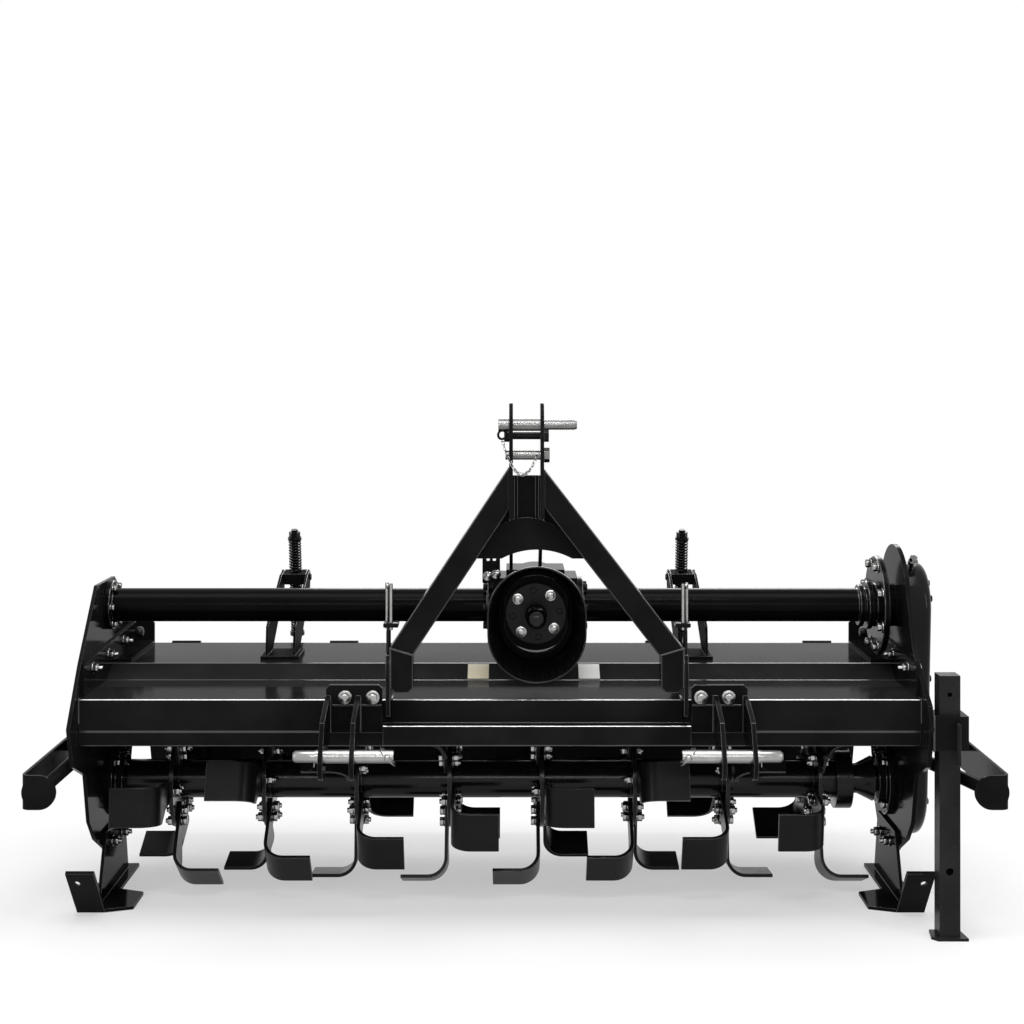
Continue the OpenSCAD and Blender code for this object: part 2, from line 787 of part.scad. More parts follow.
// Square tube leg of the A-frame, closed by a foot block at its lower end
module aframe_leg(side) {
    end_x = leg_top(side).x;
    lug_x = x_hitch + side * leg_foot_half;
    block_x = lug_x - side * foot_block;
    low = leg_foot_z - foot_drop;
    far_x = end_x - side * leg_w;
    bore = leg_half(side, leg_w / 2 - leg_wall);
    half = leg_half(side, leg_w / 2);
    bore_low = leg_foot_z + leg_w;
    color(black_paint) difference() {
        prism_y(-leg_y - leg_w / 2, leg_w / 2 - leg_y) polygon([
            [lug_x, low + foot_chamfer], [lug_x - side * foot_chamfer, low],
            [block_x + side * foot_chamfer, low], [block_x, low + foot_chamfer],
            [block_x, leg_z(side, block_x, -half)], [end_x, leg_z(side, end_x, -half)],
            [end_x, leg_z(side, end_x, half)], [lug_x, leg_z(side, lug_x, half)]
        ]);
        prism_y(-leg_y - leg_w / 2 + leg_wall, leg_w / 2 - leg_wall - leg_y) polygon([
            [leg_x(side, bore_low, -bore), bore_low], [leg_x(side, bore_low, bore), bore_low],
            [far_x, leg_z(side, far_x, bore)], [far_x, leg_z(side, far_x, -bore)]
        ]);
    }
}

module aframe_leg_left() { aframe_leg(-1); }
module aframe_leg_right() { aframe_leg(1); }

// Lug plate that carries a leg's foot on the front beam
module foot_lug(side) {
    lug_x = x_hitch + side * leg_foot_half;
    outer_x = lug_x + side * foot_lug_t;
    corner = [-beam_front, beam_top];
    foot = [-leg_y, leg_foot_z];
    front_edge = [[0, -42], [-40, -28], [-53, 63]];
    head_edge = [[-26, 28], [20, 28], [34, -8]];
    seat_len = 40;
    color(black_paint) prism_x(min(lug_x, outer_x), max(lug_x, outer_x)) polygon(concat(
        [for (p = front_edge) corner + p],
        [for (p = head_edge) foot + p],
        [corner + [seat_len, 0], corner]
    ));
}

module foot_lug_left() { foot_lug(-1); }
module foot_lug_right() { foot_lug(1); }

// Front face of the gusset between the legs
gusset_y = 5 - leg_y;

// Gusset between the legs, arched over the drive shaft guard
module aframe_gusset() {
    low = tube_z + 139;
    crest = tube_z + 227;
    round_r = 110;
    arch_r = low + 19 - tube_z;
    shoulder_h = 44;
    color(black_paint) prism_y(gusset_y, gusset_y + gusset_t) intersection() {
        difference() {
            polygon([
                [leg_inner_x(-1, low), low], [leg_inner_x(1, low), low],
                [leg_inner_x(1, crest), crest], [leg_inner_x(-1, crest), crest]
            ]);
            translate([x_hitch, tube_z]) circle(r = arch_r);
        }
        union() {
            translate([x_mast, crest - round_r]) circle(r = round_r);
            translate([leg_inner_x(-1, low) - cut, low - cut])
                square([leg_inner_x(1, low) - leg_inner_x(-1, low) + 2 * cut, shoulder_h]);
        }
    }
}

// Mast: middle and half width of its plates, and the bolts across it
mast_y = 8 - leg_y;
mast_half = 40;
top_pin_y = -leg_y - 2;
mid_bolt_y = 30 - leg_y;
mid_bolt_d = 16;
low_pin_d = 20;

// Mast plate with a round top, drilled for the top link pin and the two bolts
module mast_plate(side) {
    x = x_mast + side * mast_pitch / 2;
    low = leg_top_z - 66;
    color(black_paint) prism_x(x - mast_t / 2, x + mast_t / 2) difference() {
        union() {
            translate([mast_y - mast_half, low]) square([2 * mast_half, mast_z - mast_half - low]);
            translate([mast_y, mast_z - mast_half]) circle(r = mast_half);
        }
        translate([top_pin_y, top_pin_z]) circle(d = top_pin_d + pin_gap);
        translate([mid_bolt_y, mid_bolt_z]) circle(d = mid_bolt_d + pin_gap);
        translate([-leg_y, low_pin_z]) circle(d = low_pin_d + pin_gap);
    }
}

module mast_plate_left() { mast_plate(-1); }
module mast_plate_right() { mast_plate(1); }

// Folded web that ties the two mast plates together behind the gusset
module mast_web() {
    half = (mast_pitch - mast_t) / 2;
    fold = half - 20;
    back = 26 - leg_y;
    front = gusset_y + gusset_t - back;
    color(black_paint) translate([x_mast, back, web_low]) linear_extrude(height = web_h) polygon([
        [-half, front], [-half, 0], [half, 0], [half, front], [half - mast_t / 2, front],
        [half - fold, -mast_t], [fold - half, -mast_t], [mast_t / 2 - half, front]
    ]);
}

// Brace from the back of a mast plate down to the gearbox top
module mast_brace(side) {
    x = x_mast + side * mast_pitch / 2;
    back = mast_y + mast_half;
    head_top = leg_top_z + 34;
    head_low = leg_top_z - 44;
    seat_z = tube_z + gearbox_r;
    seat_front = -30;
    seat_rear = 44;
    toe_h = 14;
    color(black_paint) prism_x(x - mast_t / 2, x + mast_t / 2) polygon([
        [back, head_top], [back, head_low], [seat_front, seat_z], [seat_rear, seat_z],
        [seat_rear, seat_z + toe_h]
    ]);
}

module mast_brace_left() { mast_brace(-1); }
module mast_brace_right() { mast_brace(1); }

// Top link pin, stepped down outside the right mast plate
module top_link_pin() {
    head_x = x_mast - 60;
    step_x = x_mast + mast_out;
    end_x = step_x + 64;
    thin_d = top_pin_d - 5;
    tip_d = thin_d - 4;
    tip_len = 6;
    clip_x = end_x - 8;
    clip_d = 6;
    color(zinc) difference() {
        union() {
            bar_x(head_x, step_x, top_pin_y, top_pin_z, top_pin_d);
            bar_x(step_x, end_x, top_pin_y, top_pin_z, thin_d);
            translate([end_x, top_pin_y, top_pin_z]) rotate([0, 90, 0])
                cylinder(h = tip_len, d1 = thin_d, d2 = tip_d);
        }
        translate([clip_x, top_pin_y, top_pin_z]) cylinder(h = 2 * top_pin_d, d = clip_d, center = true);
    }
}

// Bolt across the mast, with a hexagon head and nut outside the plates
module mast_bolt() {
    head_d = 27;
    head_h = 11;
    color(satin_black) union() {
        bar_x(x_mast - mast_out, x_mast + mast_out, mid_bolt_y, mid_bolt_z, mid_bolt_d);
        for (side = [-1, 1])
            translate([x_mast + side * (mast_out + head_h / 2), mid_bolt_y, mid_bolt_z]) rotate([0, 90, 0])
                cylinder(h = head_h, d = head_d, center = true, $fn = 6);
    }
}

// Plain pin across the mast below the top link
module mast_pin() {
    end_len = 8;
    head_d = 32;
    head_h = 12;
    head_x = x_mast + mast_out;
    color(zinc) union() {
        bar_x(x_mast - mast_out - end_len, head_x, -leg_y, low_pin_z, low_pin_d);
        translate([head_x, -leg_y, low_pin_z]) rotate([0, 90, 0]) cylinder(h = head_h, d = head_d, $fn = 6);
    }
}

// Lower hitch clevis: a back plate on the beam and two ears that hang forward to the pin
module clevis(side) {
    mid = x_hitch + side * hitch_span / 2;
    outer = mid + side * (ear_pitch + ear_t) / 2;
    inner = outer - side * clevis_w;
    plate_t = 10;
    plate_top = beam_top + 33;
    chamfer = 8;
    seat = -beam_front - plate_t;
    root_top = [seat, beam_top + 10];
    root_bend = [seat - 34, beam_top + 6];
    ear_bend = [20 - hitch_pin_y, hitch_pin_z + 64];
    nose = [7 - hitch_pin_y, hitch_pin_z - 18];
    front_turn = 24;
    rear_turn = 62;
    color(black_paint) union() {
        prism_y(seat, -beam_front) polygon([
            [outer, beam_bend_z], [inner, beam_bend_z], [inner, plate_top - chamfer],
            [inner + side * chamfer, plate_top], [outer - side * chamfer, plate_top],
            [outer, plate_top - chamfer]
        ]);
        for (ear = [-1, 1]) {
            x = mid + ear * ear_pitch / 2;
            prism_x(x - ear_t / 2, x + ear_t / 2) difference() {
                union() {
                    polygon([
                        root_top, root_bend, ear_bend,
                        nose + ear_r * [-cos(front_turn), sin(front_turn)], nose,
                        nose + ear_r * [cos(rear_turn), -sin(rear_turn)], [seat, beam_bend_z]
                    ]);
                    translate(nose) circle(r = ear_r);
                }
                translate([-hitch_pin_y, hitch_pin_z]) circle(d = hitch_pin_d + pin_gap);
            }
        }
    }
}

module clevis_left() { clevis(-1); }
module clevis_right() { clevis(1); }

// Lower hitch pin with a thinner outer end, drilled for a linch pin at each end
module hitch_pin(side) {
    mid = x_hitch + side * hitch_span / 2;
    half = (ear_pitch + ear_t) / 2;
    step = 6;
    tip_len = 5;
    tip_d = hitch_tip_d - 6;
    clip_in = 12;
    clip_d = 9;
    color(zinc) translate([mid, -hitch_pin_y, hitch_pin_z]) rotate([0, side * 90, 0]) difference() {
        union() {
            translate([0, 0, -half - pin_in]) cylinder(h = 2 * half + pin_in + step, d = hitch_pin_d);
            translate([0, 0, half + step]) cylinder(h = pin_out - step - tip_len, d = hitch_tip_d);
            translate([0, 0, half + pin_out - tip_len])
                cylinder(h = tip_len, d1 = hitch_tip_d, d2 = tip_d);
        }
        translate([0, 0, clip_in - half - pin_in]) rotate([90, 0, 0])
            cylinder(h = 2 * hitch_pin_d, d = clip_d, center = true);
    }
}

module hitch_pin_left() { hitch_pin(-1); }
module hitch_pin_right() { hitch_pin(1); }

// Rod on which the tailgate hangs, through both side plates
module hinge_rod() {
    end_len = 10;
    color(zinc) bar_x(x_lo - end_len, x_ro + end_len, hinge_y, hinge_z, hinge_d);
}

// Middles of the hinge barrels, and of the fixed lugs between them
barrel_in = 120;
barrel_pitch = (work_w - 2 * barrel_in) / (barrel_n - 1);
barrel_xs = [for (i = [0:barrel_n - 1]) x_li + barrel_in + i * barrel_pitch];
lug_xs = [for (i = [0:barrel_n - 2]) x_li + barrel_in + (i + 0.5) * barrel_pitch];

// Lugs under the deck's rear edge that steady the hinge rod
module hinge_lugs() {
    under = deck_z - hood_t;
    half = 4;
    seat_len = 60;
    eye_r = barrel_d / 2 - 2;
    belly = [deck_rear - 20, hinge_z - eye_r - 1];
    color(black_paint) for (x = lug_xs) prism_x(x - half, x + half) difference() {
        union() {
            polygon([
                [deck_rear - seat_len, under], [hinge_y, under], [hinge_y, hinge_z - eye_r], belly
            ]);
            translate([hinge_y, hinge_z]) circle(r = eye_r);
        }
        translate([deck_rear, under]) square(seat_len);
        translate([hinge_y, hinge_z]) circle(d = hinge_d + pin_gap);
    }
}

// Outline of the tailgate's outer face, from the hinge down to the lower lip
gate_top = [hinge_y + 8, hinge_z - barrel_d / 2 - 3];
gate_knee = [hinge_y + 62, hinge_z - 150];
gate_heel = [gate_reach - 20, gate_low + 46];
gate_lip = [gate_reach, gate_low];

// Tailgate: bent sheet with hinge barrels along its top and a pair of lugs for each spring rod
module tailgate() {
    left = x_li + gate_gap;
    right = x_ri - gate_gap;
    gap = eye_w / 2 + 2;
    lug_t = 8;
    rod_lug_r = 14;
    root_top = rod_pin_z + 34;
    root_low = rod_pin_z - 34;
    root_in = 1;
    pin_half = gap + lug_t + 6;
    color(black_paint) union() {
        difference() {
            union() {
                prism_x(left, right) polygon([
                    gate_top, gate_knee, gate_heel, gate_lip, gate_lip - [gate_t, 0],
                    gate_heel - [gate_t, 0], gate_knee - [gate_t, 0], gate_top - [gate_t, 0]
                ]);
                for (x = barrel_xs) {
                    bar_x(x - barrel_len / 2, x + barrel_len / 2, hinge_y, hinge_z, barrel_d);
                    prism_x(x - barrel_len / 2, x + barrel_len / 2) polygon([
                        [hinge_y, hinge_z], [hinge_y + barrel_d / 2, hinge_z], gate_top,
                        gate_top - [gate_t, 0]
                    ]);
                }
            }
            for (x = barrel_xs)
                bar_x(x - barrel_len, x + barrel_len, hinge_y, hinge_z, hinge_d + 2 * run_gap);
        }
        for (x = rod_xs) {
            for (side = [-1, 1]) translate([side * (gap + lug_t / 2), 0, 0]) {
                bar_x(x - lug_t / 2, x + lug_t / 2, rod_pin_y, rod_pin_z, 2 * rod_lug_r);
                prism_x(x - lug_t / 2, x + lug_t / 2) polygon([
                    [rod_pin_y, rod_pin_z + rod_lug_r], [gate_y(root_top) - root_in, root_top],
                    [gate_y(root_low) - root_in, root_low], [rod_pin_y, rod_pin_z - rod_lug_r]
                ]);
            }
            bar_x(x - pin_half, x + pin_half, rod_pin_y, rod_pin_z, rod_pin_d);
        }
    }
}

// Y of the tailgate's outer face at a height between its top and its heel
function gate_y(z) = z > gate_knee.y
    ? gate_top.x + (gate_knee.x - gate_top.x) * (gate_top.y - z) / (gate_top.y - gate_knee.y)
    : gate_knee.x + (gate_heel.x - gate_knee.x) * (gate_knee.y - z) / (gate_knee.y - gate_heel.y);

// Places what is drawn up +Z from the tailgate's pin along a spring rod at a given X
module on_rod(x) {
    translate([x, rod_pin_y, rod_pin_z]) rotate([rod_lean, 0, 0]) children();
}

// Rod eye with its play on the tailgate's pin, and the pivot block's trunnions between the fork arms
eye_w = 16;
eye_play = 4;
swivel_d = 16;
fork_in = pivot_w / 2 + 1;

// Fork that holds a spring rod's pivot block: a base on the deck and two arms with pointed ears
module fork(x) {
    base_t = 8;
    base_len = 110;
    margin = 10;
    seat = deck_z + base_t;
    rear = pivot_y - 190;
    base_half = fork_in + fork_t + margin;
    arm_root = [[-100, 0], [-10, 0]];
    ear = [[4, -32], [20, 4], [6, 18], [-18, 12], [-44, 10]];
    arm_top = [-88, 66];
    color(black_paint) union() {
        box([x - base_half, rear - base_len, deck_z], [x + base_half, rear, seat]);
        for (side = [-1, 1]) translate([side * (fork_in + fork_t / 2), 0, 0])
            prism_x(x - fork_t / 2, x + fork_t / 2) difference() {
                polygon(concat(
                    [for (p = arm_root) [rear, seat] + p],
                    [for (p = ear) [pivot_y, pivot_z] + p],
                    [[rear, seat] + arm_top]
                ));
                translate([pivot_y, pivot_z]) circle(d = swivel_d + 2 * run_gap);
            }
    }
}

module fork_left() { fork(rod_xs[0]); }
module fork_right() { fork(rod_xs[1]); }

// Blocks that swivel in the forks and let the spring rods slide through
module pivot_blocks() {
    depth = 36;
    trunnion_len = 2 * (fork_in + fork_t + 4);
    color(black_paint) for (x = rod_xs) on_rod(x) translate([0, 0, rod_span]) difference() {
        union() {
            cube([pivot_w, depth, pivot_h], center = true);
            rotate([0, 90, 0]) cylinder(h = trunnion_len, d = swivel_d, center = true);
        }
        cylinder(h = 2 * pivot_h, d = rod_d + 2 * run_gap, center = true);
    }
}

// Rods with an eye on the tailgate's pin, a collar under the lower spring and a nut over the upper one
module spring_rods() {
    eye_d = rod_pin_d + 2 * eye_play;
    eye_rim = eye_d + 14;
    collar_z = rod_span - pivot_h / 2 - spring_low;
    collar_h = 8;
    collar_d = spring_d + 4;
    nut_z = rod_span + pivot_h / 2 + spring_up;
    washer_h = 6;
    washer_d = spring_d + 2;
    nut_d = rod_d + 12;
    end_len = 6;
    color(satin_black) for (x = rod_xs) on_rod(x) difference() {
        union() {
            rotate([0, 90, 0]) cylinder(h = eye_w, d = eye_rim, center = true);
            cylinder(h = nut_z + nut_h + end_len, d = rod_d);
            translate([0, 0, collar_z - collar_h]) cylinder(h = collar_h, d = collar_d);
            translate([0, 0, nut_z]) cylinder(h = washer_h, d = washer_d);
            translate([0, 0, nut_z + washer_h]) cylinder(h = nut_h - washer_h, d = nut_d, $fn = 6);
        }
        rotate([0, 90, 0]) cylinder(h = eye_w + 2 * cut, d = eye_d, center = true);
    }
}

// One ring of a coil's wire at turn angle a, with its middle at height z
function wire_ring(a, z) = [
    for (w = [0:360 / wire_sides:359])
        let (r = (spring_d - spring_wire) / 2 + spring_wire / 2 * cos(w))
        [r * cos(a), r * sin(a), z + spring_wire / 2 * sin(w)]
];

// Coil spring of a given length up +Z, the wire swept as one closed surface
module spring(length) {
    steps = round(length / spring_pitch) * turn_steps;
    climb = (length - spring_wire) / steps;
    points = [
        for (i = [0:steps])
            each wire_ring(i * 360 / turn_steps, spring_wire / 2 + i * climb)
    ];
    sides = [
        for (i = [0:steps - 1], k = [0:wire_sides - 1])
            let (a = i * wire_sides + k, b = i * wire_sides + (k + 1) % wire_sides)
            [a, b, b + wire_sides, a + wire_sides]
    ];
    caps = [[for (k = [wire_sides - 1:-1:0]) k], [for (k = [0:wire_sides - 1]) steps * wire_sides + k]];
    polyhedron(points, concat(sides, caps));
}

module springs_upper() {
    color(satin_black) for (x = rod_xs) on_rod(x)
        translate([0, 0, rod_span + pivot_h / 2]) spring(spring_up);
}

module springs_lower() {
    color(satin_black) for (x = rod_xs) on_rod(x)
        translate([0, 0, rod_span - pivot_h / 2 - spring_low]) spring(spring_low);
}

// Parking stand: its middle, half width of its sleeve, and its locking pin
x_stand = x_ro + sleeve_wall + stand_gap + stand_w / 2;
sleeve_half = stand_w / 2 + stand_gap + sleeve_wall;
lock_d = 10;
lock_x = x_stand + 12;
lock_z = sleeve_z + sleeve_h - 16;

// Sleeve on the right side plate in which the parking stand slides
module stand_sleeve() {
    hole = stand_w / 2 + stand_gap;
    color(black_paint) difference() {
        box([x_stand - sleeve_half, -stand_y - sleeve_half, sleeve_z],
            [x_stand + sleeve_half, sleeve_half - stand_y, sleeve_z + sleeve_h]);
        box([x_stand - hole, -stand_y - hole, sleeve_z - cut],
            [x_stand + hole, hole - stand_y, sleeve_z + sleeve_h + cut]);
        bar_y(-stand_y - sleeve_half - cut, -stand_y, lock_x, lock_z, lock_d + pin_gap);
    }
}

// Square tube leg of the parking stand, capped on top, with holes for the pin and a foot plate
module stand_leg() {
    half = stand_w / 2;
    bore = half - stand_wall;
    top_hole_z = stand_h - 40;
    low_hole_z = 144;
    low_hole_d = 16;
    side_out = 10;
    end_out = 8;
    toe_out = 16;
    heel_in = 4;
    bevel = 14;
    color(black_paint) union() {
        difference() {
            box([x_stand - half, -stand_y - half, foot_t], [x_stand + half, half - stand_y, stand_h]);
            box([x_stand - bore, -stand_y - bore, foot_t - cut],
                [x_stand + bore, bore - stand_y, stand_h - stand_wall]);
            bar_y(-stand_y - half - cut, half + cut - stand_y, x_stand, top_hole_z, lock_d);
            bar_y(-stand_y - half - cut, half + cut - stand_y, x_stand, low_hole_z, low_hole_d);
        }
        translate([x_stand, -stand_y, 0]) linear_extrude(height = foot_t) polygon([
            [-half - side_out, half + end_out], [half + side_out, half + end_out],
            [half + toe_out, -half - end_out], [-half - heel_in, -half - end_out],
            [-half - toe_out, bevel - half - end_out]
        ]);
    }
}

// Locking pin of the stand, drawn back in the sleeve's front wall, with its handle hanging down
module stand_pin() {
    handle_len = 84;
    front = -stand_y - sleeve_half - 12;
    tip = -stand_y - stand_w / 2 - stand_gap - 0.5;
    color(satin_black) union() {
        bar_y(front, tip, lock_x, lock_z, lock_d);
        translate([lock_x, front, lock_z]) sphere(d = lock_d);
        translate([lock_x, front, lock_z - handle_len]) cylinder(h = handle_len, d = lock_d);
    }
}

// Skid under a side plate: a runner with a turned-up nose, an inner foot and an upright on the plate
module skid(side) {
    mid = side < 0 ? (x_lo + x_li) / 2 : (x_ri + x_ro) / 2;
    wall_x = side < 0 ? x_li : x_ri;
    outer = mid + side * runner_w / 2;
    inner = outer - side * runner_w;
    foot_x = outer - side * skid_foot_w;
    foot_corner = 22;
    foot_rear = -24;
    lean = 48;
    nose_y = -sole_front - nose_z / tan(lean);
    fold = skid_t * tan(lean / 2);
    hole_d = 12;
    hole_in = 20;
    hole_z = nose_z - 28;
    upright_x = wall_x - side * skid_t;
    upright_top = rotor_z - bearing_flange_r - 12;
    upright_foot = [-120, 170];
    upright_head = [rotor_y - 110, rotor_y + 70];
    color(black_paint) union() {
        difference() {
            prism_x(min(outer, inner), max(outer, inner)) polygon([
                [sole_rear, 0], [-sole_front, 0], [nose_y, nose_z],
                [nose_y + skid_t * sin(lean), nose_z + skid_t * cos(lean)], [fold - sole_front, skid_t],
                [sole_rear, skid_t]
            ]);
            bar_y(nose_y, -sole_front, outer - side * hole_in, hole_z, hole_d);
        }
        linear_extrude(height = skid_t) polygon([
            [mid, -sole_front], [inner, -sole_front], [foot_x, foot_corner - sole_front],
            [foot_x, foot_rear], [inner, 0], [mid, 0]
        ]);
        prism_x(min(wall_x, upright_x), max(wall_x, upright_x)) polygon([
            [upright_foot[0], 0], [upright_foot[1], 0], [upright_head[1], upright_top],
            [upright_head[0], upright_top]
        ]);
    }
}

module skid_left() { skid(-1); }
module skid_right() { skid(1); }

// Outer radius of the guard strap's bend, and width of its tab
strap_bend = 20;
tab_w = 74;

// Side guard: a flat strap along the machine's side, bent inwards at the front as a rounded tab
module guard(side) {
    low = strap_z - strap_h / 2;
    tab_x = x_guard - tab_w + strap_h / 2;
    color(black_paint) mirror([side < 0 ? 1 : 0, 0, 0]) union() {
        translate([0, 0, low]) linear_extrude(height = strap_h) {
            translate([x_guard - strap_t, strap_bend - strap_front])
                square([strap_t, strap_front + strap_rear - strap_bend]);
            intersection() {
                translate([x_guard - strap_bend, strap_bend - strap_front]) difference() {
                    circle(r = strap_bend);
                    circle(r = strap_bend - strap_t);
                }
                translate([x_guard - strap_bend, -strap_front]) square(strap_bend);
            }
        }
        prism_y(-strap_front, strap_t - strap_front) union() {
            translate([tab_x, low]) square([x_guard - strap_bend - tab_x, strap_h]);
            translate([tab_x, strap_z]) circle(d = strap_h);
        }
    }
}

module guard_left() { guard(-1); }
module guard_right() { guard(1); }

// Stay tubes that hold a guard: one slanting back from the tab, one square across at the rear
module guard_stays(side, seat_x, seat_y, seat_z, rear_x) {
    front = [side * (x_guard - tab_w / 2), strap_t - strap_front, strap_z];
    seat = [seat_x, seat_y, seat_z];
    reach = 2 * stay_d;
    far = 300;
    rear_y = rotor_y + 20;
    strap_x = side * (x_guard - strap_t);
    color(black_paint) {
        difference() {
            towards(front, seat) translate([0, 0, -reach])
                cylinder(h = norm(seat - front) + 2 * reach, d = stay_d);
            box(front - [far, far, far], front + [far, 0, far]);
            box(seat - [side < 0 ? 0 : far, far, far], seat + [side < 0 ? far : 0, far, far]);
        }
        bar_x(min(rear_x, strap_x), max(rear_x, strap_x), rear_y, strap_z, stay_d);
    }
}

// Y and Z at which each slanting stay meets its side plate
stay_left = [-268, 366];
stay_right = [-118, 346];
module guard_stays_left() { guard_stays(-1, x_lo, stay_left.x, stay_left.y, x_lo); }
module guard_stays_right() { guard_stays(1, x_ro, stay_right.x, stay_right.y, x_case); }

hood();
front_beam();
beam_angle();
side_plate_left();
side_plate_right();
corner_bracket_left();
corner_bracket_right();
cross_tube_left();
cross_tube_right();
gearbox();
shaft_guard();
pto_shaft();
pto_cap();
drive_case();
case_plug();
bearing_left();
bearing_right();
rotor_shaft();
tines_right_hand();
tines_left_hand();
aframe_leg_left();
aframe_leg_right();
foot_lug_left();
foot_lug_right();
aframe_gusset();
mast_plate_left();
mast_plate_right();
mast_web();
mast_brace_left();
mast_brace_right();
top_link_pin();
mast_bolt();
mast_pin();
clevis_left();
clevis_right();
hitch_pin_left();
hitch_pin_right();
hinge_rod();
hinge_lugs();
tailgate();
fork_left();
fork_right();
pivot_blocks();
spring_rods();
springs_upper();
springs_lower();
stand_sleeve();
stand_leg();
stand_pin();
skid_left();
skid_right();
guard_left();
guard_right();
guard_stays_left();
guard_stays_right();
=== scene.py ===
import json
import math

import bpy
from mathutils import Matrix, Quaternion, Vector

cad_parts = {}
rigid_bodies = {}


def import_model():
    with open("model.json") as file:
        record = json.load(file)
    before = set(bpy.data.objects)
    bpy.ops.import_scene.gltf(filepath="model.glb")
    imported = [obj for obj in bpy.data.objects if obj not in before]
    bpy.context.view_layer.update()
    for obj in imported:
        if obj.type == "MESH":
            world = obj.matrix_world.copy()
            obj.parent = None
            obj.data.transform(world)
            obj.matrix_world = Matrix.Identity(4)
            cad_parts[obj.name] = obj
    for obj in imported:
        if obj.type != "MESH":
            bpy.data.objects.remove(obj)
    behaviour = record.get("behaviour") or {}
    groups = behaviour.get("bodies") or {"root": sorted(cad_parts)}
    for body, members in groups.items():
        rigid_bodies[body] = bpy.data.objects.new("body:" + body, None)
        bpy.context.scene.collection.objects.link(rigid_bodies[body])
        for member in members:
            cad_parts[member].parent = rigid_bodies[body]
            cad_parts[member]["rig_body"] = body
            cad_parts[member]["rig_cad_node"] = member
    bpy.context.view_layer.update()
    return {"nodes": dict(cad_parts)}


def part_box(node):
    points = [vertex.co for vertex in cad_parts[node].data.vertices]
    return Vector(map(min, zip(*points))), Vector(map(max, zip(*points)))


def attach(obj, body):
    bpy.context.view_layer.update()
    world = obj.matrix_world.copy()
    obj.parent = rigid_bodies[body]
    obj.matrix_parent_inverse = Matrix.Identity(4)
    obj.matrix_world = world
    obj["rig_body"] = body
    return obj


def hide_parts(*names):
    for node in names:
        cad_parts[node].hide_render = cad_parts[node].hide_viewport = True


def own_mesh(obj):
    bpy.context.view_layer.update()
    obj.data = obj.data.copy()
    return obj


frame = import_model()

# Studio: a level camera in front of the hitch, a pale paper floor and a white world around the machine.
# Soft lamps hang above and stand at both sides and behind, so that the black paint shows its edges.
picture_px = 1024
focal_px = 1718
horizon_px = 362
sensor_mm = 36
camera_place = (-0.007, -3.95, 1.218)
level_view = (math.radians(90), 0, 0)
floor_half = 40
floor_near = 1.2
floor_far = 2.6
floor_shade = 0.55
paper_white = (0.9, 0.9, 0.9, 1)
paper_roughness = 0.9
full_white = (1, 1, 1, 1)
backdrop_light = 1
world_light = 0.5
lamps = [
    ("softbox_top", (0, -0.75, 3.1), (0, -0.4, 0.4), (3.4, 1.3), 60),
    ("strip_front", (0.1, -2.0, 2.8), (0, -0.3, 0.6), (1.4, 0.10), 18),
    ("strip_far", (0, -4.4, 1.75), (0, 0, 0.6), (3.0, 0.12), 24),
    ("softbox_left", (-3.0, -2.2, 1.5), (0, 0, 0.5), (0.3, 1.8), 14),
    ("softbox_right", (3.0, -2.2, 1.5), (0, 0, 0.5), (0.3, 1.8), 14),
    ("softbox_rear", (0.4, 3.0, 2.1), (0, 0.3, 0.4), (2.6, 1.0), 60),
]

bpy.ops.object.camera_add(location=camera_place, rotation=level_view)
camera = bpy.context.object
camera.data.sensor_width = sensor_mm
camera.data.lens = sensor_mm * focal_px / picture_px
camera.data.shift_y = (horizon_px - picture_px / 2) / picture_px
scene = bpy.context.scene
scene.camera = camera
scene.view_settings.view_transform = "Standard"


def reckoned(tree, operation, first, second):
    """The result of one step of arithmetic on two sockets."""
    step = tree.nodes.new("ShaderNodeMath")
    step.operation = operation
    tree.links.new(first, step.inputs[0])
    tree.links.new(second, step.inputs[1])
    return step.outputs[0]


def spread(tree, value, low, high, start=0, end=1):
    """A value from start to end, carried over to low to high."""
    reach = tree.nodes.new("ShaderNodeMapRange")
    reach.inputs["From Min"].default_value = start
    reach.inputs["From Max"].default_value = end
    reach.inputs["To Min"].default_value = low
    reach.inputs["To Max"].default_value = high
    tree.links.new(value, reach.inputs["Value"])
    return reach.outputs["Result"]


def seen_rays(tree):
    """A socket that is 1 for rays from the camera, a gloss or glass, and 0 for diffuse light."""
    path = tree.nodes.new("ShaderNodeLightPath")
    mirrored = reckoned(tree, "MAXIMUM", path.outputs["Is Camera Ray"], path.outputs["Is Glossy Ray"])
    return reckoned(tree, "MAXIMUM", mirrored, path.outputs["Is Transmission Ray"])


def shown_as(tree, share, plain, bright, output):
    """Ends a node tree with the bright shader by its share and the plain one for the rest."""
    mix = tree.nodes.new("ShaderNodeMixShader")
    tree.links.new(share, mix.inputs["Fac"])
    tree.links.new(plain.outputs[0], mix.inputs[1])
    tree.links.new(bright.outputs[0], mix.inputs[2])
    tree.links.new(mix.outputs[0], tree.nodes[output].inputs["Surface"])


world = bpy.data.worlds.new("studio_world")
world.use_nodes = True
sky = world.node_tree
ambient = sky.nodes["Background"]
ambient.inputs["Color"].default_value = full_white
ambient.inputs["Strength"].default_value = world_light
backdrop = sky.nodes.new("ShaderNodeBackground")
backdrop.inputs["Color"].default_value = full_white
backdrop.inputs["Strength"].default_value = backdrop_light
shown_as(sky, seen_rays(sky), ambient, backdrop, "World Output")
scene.world = world

